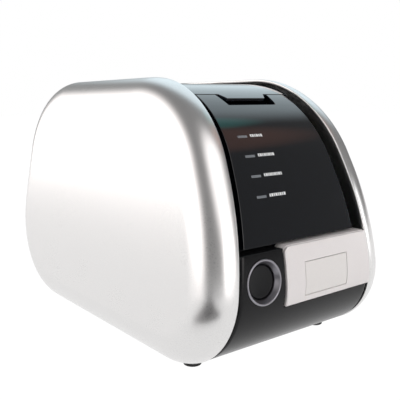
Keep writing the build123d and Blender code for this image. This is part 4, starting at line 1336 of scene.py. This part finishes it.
@dataclass
class Lid:
    """Smoked lid over the feed bay: a curved plate with a finger tab in front and a barrel behind."""

    shell: Shell
    inset: float = 5.0 * MM
    thickness: float = 3.0 * MM
    side: float = 2.5 * MM
    front: float = -94.0 * MM
    tab_front: float = -101.4 * MM
    tab_half_rear: float = 27.5 * MM
    tab_half_front: float = 22.8 * MM
    hinge_y: float = 20.0 * MM
    barrel: float = 8.0 * MM
    bore: float = 2.55 * MM
    lug_x: float = 48.25 * MM
    lug_room: float = 3.25 * MM

    def plate(self) -> bpy.types.Object:
        """Builds the plate and its tab."""
        outline = self.shell.outline
        tab = outline.top_at(self.tab_front, self.inset)
        edge = outline.top_at(self.front, self.inset)
        hinge = outline.top_at(self.hinge_y, self.inset)
        rows = self.shell.rows(tab, hinge, 3.5 * MM, [edge])
        half = self.tab_half_rear
        columns = [-EDGE, -half, -half / 2, 0.0, half / 2, half, EDGE]

        def keep(x: float, along: float) -> bool:
            """Leaves out both sides of the tab."""
            return along > edge or abs(x) < half

        def bend(x: float, along: float, depth: float) -> tuple[float, float, float]:
            """Narrows the tab towards its front."""
            share = min(1.0, max(0.0, (edge - along) / (edge - tab)))
            if abs(x) <= half:
                x *= 1 - share * (1 - self.tab_half_front / half)
            return x, along, depth

        return Skin(self.shell, rows, columns, self.inset, self.thickness, self.side, side_round=1.0 * MM,
                    end_round=0.6 * MM, fine_round=0.5 * MM, keep=keep, bend=bend).build("lid_plate")

    def barrels(self) -> bpy.types.Object:
        """Builds the three stretches of the hinge barrel between its slots."""
        _, top = self.shell.outline.at(self.shell.outline.top_at(self.hinge_y, self.inset), self.inset)
        height = top - self.barrel
        end = self.shell.half(height) - self.side - 0.5 * MM
        stretches = [(-end, -self.lug_x - self.lug_room), (-self.lug_x + self.lug_room,
                     self.lug_x - self.lug_room), (self.lug_x + self.lug_room, end)]
        made = []
        for index, (start, stop) in enumerate(stretches):
            place = Matrix.Translation((start, self.hinge_y, height)) @ Matrix.Rotation(math.pi / 2, 4, "Y")
            bore, long = self.bore, stop - start
            profile = [(bore, 0), (self.barrel, 0), (self.barrel, long), (bore, long)]
            made.append(turned(f"barrel_{index}", profile, place, 64, 0.4 * MM))
        return join("lid_barrel", made)

    def make(self) -> None:
        """Builds and dresses the lid."""
        dress(self.plate(), LID_GLOSS, "lid_body", ["lid"])
        dress(self.barrels(), LID_GLOSS, "lid_body")


@dataclass
class Rear:
    """Top rear cover, rear panel with its vents and sockets' openings, and the base pan."""

    shell: Shell
    cover_inset: float = 5.0 * MM
    cover_start: float = 28.6 * MM
    cover_bottom: float = 165.0 * MM
    panel_inset: float = 4.0 * MM
    pan_drop: float = 2.0 * MM
    pan_front: float = -136.0 * MM
    pan_rear: float = 115.0 * MM
    skin: float = 2.5 * MM
    gap: float = 0.3 * MM
    fan_x: float = 38.0 * MM
    fan_z: float = 138.5 * MM
    fan_room: float = 22.0 * MM
    fan_margin: float = 4.0 * MM
    fan_steps: int = 14
    border: float = 1.5 * MM
    columns: Sequence[float] = (-EDGE, -50 * MM, 0.0, 50 * MM, EDGE)
    fits: Sequence[tuple[float, float, float, float]] = (
        (-47 * MM, 142 * MM, 27.4 * MM, 20.4 * MM), (-14 * MM, 142 * MM, 13.4 * MM, 19.4 * MM),
        (-14 * MM, 118 * MM, 12.4 * MM, 11.4 * MM))
    vent_heights: tuple[float, float] = (40.0 * MM, 77.6 * MM)
    vent_half: float = 40.0 * MM
    slat_depth: float = 2.0 * MM
    screw_span: float = 40.0 * MM
    fit_z: float = 142.0 * MM

    def cover(self) -> bpy.types.Object:
        """Builds the gloss cover behind the lid."""
        outline = self.shell.outline
        rows = self.shell.rows(outline.top_at(self.cover_start, self.cover_inset),
                               outline.rear_at(self.cover_bottom, self.cover_inset), 4 * MM)
        return Skin(self.shell, rows, self.columns, self.cover_inset, self.skin, side_round=1.0 * MM,
                    end_round=0.5 * MM).build("top_rear_skin")

    def opening(self, x: float, z: float, width: float, height: float) -> tuple[list[float], list[float]]:
        """Grid lines of a rectangular opening on the rear panel.

        Args:
            x: Middle across.
            z: Height of its middle.
            width: Its width.
            height: Its height along the surface.

        Returns:
            Its two columns, and its two rows.
        """
        middle = self.shell.outline.rear_at(self.fit_z, self.panel_inset) + (self.fit_z - z)
        return [x - width / 2, x + width / 2], [middle - height / 2, middle + height / 2]

    def openings(self) -> list[tuple[list[float], list[float]]]:
        """Lists the grid lines of all openings: inlet, rocker, data socket, fan and low vent."""
        fan = 2 * self.fan_room
        found = [self.opening(*fit) for fit in (*self.fits, (self.fan_x, self.fan_z, fan, fan))]
        rows = [self.shell.outline.rear_at(z, self.panel_inset) for z in self.vent_heights]
        found.append(([-self.vent_half, self.vent_half], sorted(rows)))
        return found

    def with_borders(self, fixed: Sequence[float], sides: Sequence[float]) -> list[float]:
        """Adds a line beside each side of an opening, so that its rounding stays close to it.

        Args:
            fixed: Lines that stay.
            sides: Sides of the openings, which stay too.

        Returns:
            All lines, in order.
        """
        kept = sorted({*fixed, *sides})
        for side in sides:
            for line in (side - self.border, side + self.border):
                if min(abs(line - other) for other in kept) > self.border * 0.4:
                    kept.append(line)
        return sorted(kept)

    def panel(self) -> bpy.types.Object:
        """Builds the rear panel with its openings."""
        outline = self.shell.outline
        start = outline.rear_at(self.cover_bottom - self.gap, self.panel_inset)
        end = outline.find(0, self.pan_rear + self.gap, outline.rear, outline.length, self.panel_inset)
        holes = self.openings()
        middle_row = sum(holes[3][1]) / 2
        around = hole_lines(self.fan_room, self.fan_margin, self.fan_steps)
        fan_columns, fan_rows = [self.fan_x + a for a in around], [middle_row + a for a in around]
        lines = self.with_borders(fan_rows, [row for _, pair in holes for row in pair])
        rows = self.shell.rows(start, end, 5 * MM, lines)
        columns = [-EDGE, *self.with_borders(fan_columns, [x for pair, _ in holes for x in pair]), EDGE]

        def keep(x: float, along: float) -> bool:
            """Leaves out every opening."""
            return not any(xs[0] < x < xs[1] and rs[0] < along < rs[1] for xs, rs in holes)

        bend = round_hole(self.fan_x, middle_row, self.fan_room, self.fan_margin)
        return Skin(self.shell, rows, columns, self.panel_inset, self.skin, side_round=1.0 * MM,
                    fine_round=0.3 * MM, keep=keep, bend=bend).build("rear_panel_skin")

    def fan_place(self) -> Matrix:
        """Frame on the panel's surface at the fan's middle."""
        outline = self.shell.outline
        along = outline.rear_at(self.fit_z, self.panel_inset) + self.fit_z - self.fan_z
        return outline.place(along, self.panel_inset, self.fan_x, rear=True)

    def grilles(self) -> list[bpy.types.Object]:
        """Builds the slats of the fan opening and of the low vent."""
        outline, depth = self.shell.outline, self.slat_depth
        satin = FINISHES["black_satin"]
        under = Matrix.Translation((0, 0, -depth / 2 - 0.1 * MM))
        fan = self.fan_place() @ under
        vent_row = sum(outline.rear_at(z, self.panel_inset) for z in self.vent_heights) / 2
        vent = outline.place(vent_row, self.panel_inset, 0.0, rear=True) @ under
        across = vent @ Matrix.Rotation(math.pi / 2, 4, "Z")
        return [slat_rows("fan_slats", fan, count=8, pitch=5.0 * MM, bar=(45 * MM, 2.4 * MM, depth),
                          round_room=22.8 * MM, finish=satin),
                slat_rows("vent_slats", vent, count=5, pitch=7.0 * MM, bar=(81 * MM, 4.4 * MM, depth),
                          round_room=0.0, finish=satin),
                slat_rows("vent_ribs", across, count=5, pitch=16.0 * MM,
                          bar=(38 * MM, 1.6 * MM, depth * 0.7), round_room=0.0, finish=satin)]

    def fan_screws(self) -> bpy.types.Object:
        """Builds the heads of the four screws that hold the fan."""
        place = self.fan_place() @ Matrix.Translation((0, 0, 0.6 * MM))
        return ring_of_heads("fan_screws", place, (self.screw_span, self.screw_span), 2.7 * MM, 1.2 * MM,
                             FINISHES["screw_steel"])

    def pan(self) -> bpy.types.Object:
        """Builds the flat base pan."""
        outline = self.shell.outline
        start = outline.find(0, self.pan_rear, outline.rear, outline.length, -self.pan_drop)
        end = outline.find(0, self.pan_front, 0, outline.front, -self.pan_drop) + outline.length
        rows = self.shell.rows(start, end, 6 * MM)
        return Skin(self.shell, rows, self.columns, -self.pan_drop, self.skin, side_round=1.0 * MM,
                    end_round=0.8 * MM).build("base_pan_skin")

    def make(self) -> None:
        """Builds and dresses the rear and the base."""
        satin = FINISHES["black_satin"]
        dress(self.cover(), FINISHES["black_gloss"], stands_for=["top_rear_cover"])
        dress(self.panel(), satin, stands_for=["rear_panel"])
        for grille in self.grilles():
            dress(grille, satin)
        dress(self.fan_screws(), FINISHES["screw_steel"])
        dress(self.pan(), satin, stands_for=["base_pan"])


class Carried:
    """The CAD nodes that stay as they are and only get their finishes."""

    def make(self) -> None:
        """Dresses every shown CAD node by its material slot in the record."""
        for part in frame["record"]["subparts"]:
            node = frame["nodes"][part["node"]]
            if not node.hide_render:
                node.data.materials.clear()
                node.data.materials.append(FINISHES[part["material_slot"]].make())
                log.info("%s: carried over", part["node"])


# ---- studio ----
@dataclass(frozen=True)
class Glow:
    """One soft light of the room, a round patch of sky with a soft rim.

    Attributes:
        towards: Direction in which it lies.
        core: Half angle of its even middle, in degrees.
        rim: Half angle at which it has faded out, in degrees.
        strength: Its brightness.
        colour: Its colour, sRGB hex.
    """

    towards: tuple[float, float, float]
    core: float
    rim: float
    strength: float
    colour: str = "FFFFFF"

    def add_to(self, tree: bpy.types.NodeTree, view: bpy.types.NodeSocket,
               before: bpy.types.NodeSocket) -> bpy.types.NodeSocket:
        """Adds this light to those built before it.

        Args:
            tree: The world's node tree.
            view: Socket of the direction looked in.
            before: Socket of the light so far.

        Returns:
            The socket of the light with this one added.
        """
        facing = add_node(tree, "ShaderNodeVectorMath", {
            0: view, 1: Vector(self.towards).normalized()}, operation="DOT_PRODUCT").outputs["Value"]
        share = add_node(tree, "ShaderNodeMapRange", {
            "Value": facing, "From Min": math.cos(math.radians(self.rim)),
            "From Max": math.cos(math.radians(self.core))}, interpolation_type="SMOOTHSTEP").outputs[0]
        light = [channel * self.strength for channel in linear(self.colour)[:3]]
        return add_node(tree, "ShaderNodeVectorMath", {0: share, 1: light, 2: before},
                        operation="MULTIPLY_ADD").outputs[0]


@dataclass
class Studio:
    """Pale floor, soft light and the camera.

    Attributes:
        shell: The envelope, whose shift the camera follows.
        eye: The camera's place along X and Z.
        eye_y: Its place along Y, before the shift.
        heading: Its turn to the right of +Y, in degrees.
        pitch: Its tilt, in degrees; down is negative.
        lens: Its focal length, in mm.
        ambient: Brightness of the room where no glow lies.
        floor_size: Half the floor's width.
        floor_white: Brightness that the camera sees on the floor.
        floor_share: How far that replaces the lit paper.
        floor_sheen: Brightness that reflections see on the floor.
        strip_spot: Middle of the strip light.
        strip_size: Its width and height.
        strip_power: Its power in watts.
        card_spot: Middle of the dark card on the floor.
        card_heading: Direction of its length, in degrees from X.
        card_size: Its length, width and thickness.
        glows: Soft lights of the room.
    """

    shell: Shell
    eye: tuple[float, float] = (-380.9 * MM, 228.8 * MM)
    eye_y: float = -336.25 * MM
    heading: float = 38.04
    pitch: float = -9.68
    lens: float = 55.145
    ambient: float = 0.2
    floor_size: float = 6.0
    floor_white: float = 1.08
    floor_share: float = 0.93
    floor_sheen: float = 0.98
    strip_spot: tuple[float, float, float] = (1.35, -0.95, 0.24)
    strip_size: tuple[float, float] = (0.05, 0.6)
    strip_power: float = 2.0
    card_spot: tuple[float, float, float] = (-0.5, -0.45, 0.006)
    card_heading: float = 217.0
    card_size: tuple[float, float, float] = (0.8, 0.2, 0.004)
    glows: Sequence[Glow] = (
        Glow((-0.85, 0.53, 0.1), 30, 58, 2.1, "FFFAF8"),        # wide, left and behind: the near cover
        Glow((0.15, -0.98, 0.1), 8, 24, 3.3, "FFFBFA"),          # front: tray and rims
        Glow((0.05, -0.75, 0.65), 12, 34, 1.6, "FFFBFA"),        # above the front
        Glow((0.6, 0.5, 0.64), 18, 35, 1.2, "D2E4EC"),           # above and behind: sheen on the lid
        Glow((0.2, 0.98, 0.1), 20, 45, 0.12, "DDE8EA"),          # behind: the covers' far edges
        Glow((0.61, -0.05, 0.79), 2, 7, 2.0, "2F7F7A"),          # teal and brown tints under the lid
        Glow((0.61, -0.3, 0.73), 5, 13, 1.2, "8A5A48"),
    )

    def strip(self) -> None:
        """Hangs a tall soft strip light, turned to the middle of the case."""
        data = bpy.data.lights.new("strip", "AREA")
        data.shape, data.energy = "RECTANGLE", self.strip_power
        data.size, data.size_y = self.strip_size
        light = bpy.data.objects.new("strip", data)
        bpy.context.scene.collection.objects.link(light)
        light.location = self.strip_spot
        aim = Vector((0, 0, 0.12)) - Vector(self.strip_spot)
        light.rotation_euler = aim.to_track_quat("-Z", "Y").to_euler()

    def card(self) -> None:
        """Lays a dark card on the floor, which only reflections show."""
        turn = Matrix.Rotation(math.radians(self.card_heading), 4, "Z")
        place = Matrix.Translation(self.card_spot) @ turn
        card = solid_box("left_flag", place, self.card_size, 0.5 * MM, 1)
        card.data.materials.append(FINISHES["black_satin"].make())
        card.visible_camera = card.visible_shadow = card.visible_diffuse = False

    def floor(self) -> None:
        """Lays a large pale floor that fades to white for the camera."""
        mesh = bmesh.new()
        bmesh.ops.create_grid(mesh, x_segments=8, y_segments=8, size=self.floor_size)
        ground = to_object(mesh, "floor")
        material = bpy.data.materials.new("floor_paper")
        material.use_nodes = True
        tree = material.node_tree
        tree.nodes.clear()
        path = add_node(tree, "ShaderNodeLightPath").outputs
        seen, mirrored = path["Is Camera Ray"], path["Is Glossy Ray"]
        paper = add_node(tree, "ShaderNodeBsdfDiffuse", {"Color": linear("EAEAEA")})
        sheen = add_node(tree, "ShaderNodeMath", {0: mirrored, 1: self.floor_sheen}, operation="MULTIPLY")
        power = add_node(tree, "ShaderNodeMath", {0: seen, 1: self.floor_white, 2: sheen.outputs[0]},
                         operation="MULTIPLY_ADD")
        white = add_node(tree, "ShaderNodeEmission", {"Color": linear("FFFFFF"),
                                                      "Strength": power.outputs[0]})
        share = add_node(tree, "ShaderNodeMath", {0: seen, 1: self.floor_share, 2: mirrored},
                         operation="MULTIPLY_ADD").outputs[0]
        both = add_node(tree, "ShaderNodeMixShader", {0: share, 1: paper.outputs[0], 2: white.outputs[0]})
        add_node(tree, "ShaderNodeOutputMaterial", {"Surface": both.outputs[0]})
        ground.data.materials.append(material)

    def surroundings(self) -> None:
        """Sets a white backdrop for the camera and a dimmer room for everything else."""
        world = bpy.data.worlds.new("room")
        bpy.context.scene.world = world
        world.use_nodes = True
        tree = world.node_tree
        tree.nodes.clear()
        seen = add_node(tree, "ShaderNodeLightPath").outputs["Is Camera Ray"]
        white = add_node(tree, "ShaderNodeBackground", {"Color": (1, 1, 1, 1), "Strength": 1.0})
        view = add_node(tree, "ShaderNodeTexCoord").outputs["Generated"]
        light = add_node(tree, "ShaderNodeCombineXYZ", {
            "X": self.ambient, "Y": self.ambient, "Z": self.ambient}).outputs[0]
        for glow in self.glows:
            light = glow.add_to(tree, view, light)
        room = add_node(tree, "ShaderNodeBackground", {"Color": light, "Strength": 1.0})
        both = add_node(tree, "ShaderNodeMixShader", {0: seen, 1: room.outputs[0], 2: white.outputs[0]})
        add_node(tree, "ShaderNodeOutputWorld", {"Surface": both.outputs[0]})

    def camera(self) -> None:
        """Places the camera in front of the near front corner."""
        data = bpy.data.cameras.new("camera")
        data.lens, data.sensor_width = self.lens, 36.0
        camera = bpy.data.objects.new("camera", data)
        bpy.context.scene.collection.objects.link(camera)
        camera.location = (self.eye[0], self.eye_y + self.shell.outline.shift, self.eye[1])
        camera.rotation_euler = (math.radians(90 + self.pitch), 0, -math.radians(self.heading))
        bpy.context.scene.camera = camera

    def make(self) -> None:
        """Sets up the studio."""
        bpy.context.scene.view_settings.view_transform = "Standard"
        self.floor()
        self.strip()
        self.card()
        self.surroundings()
        self.camera()


def main() -> None:
    """Builds the reader, dresses it and sets up the studio."""
    shell = Shell()
    log.info("outline shift %.5f m", shell.outline.shift)
    for assembly in (SideCover(shell), LowerFront(shell), Tray(shell), UpperFront(shell), Lid(shell),
                     Rear(shell), Carried(), Studio(shell)):
        assembly.make()
        log.info("%s done", type(assembly).__name__)


if __name__ == "__main__":
    logging.basicConfig(level=logging.INFO, format="%(message)s")
    main()
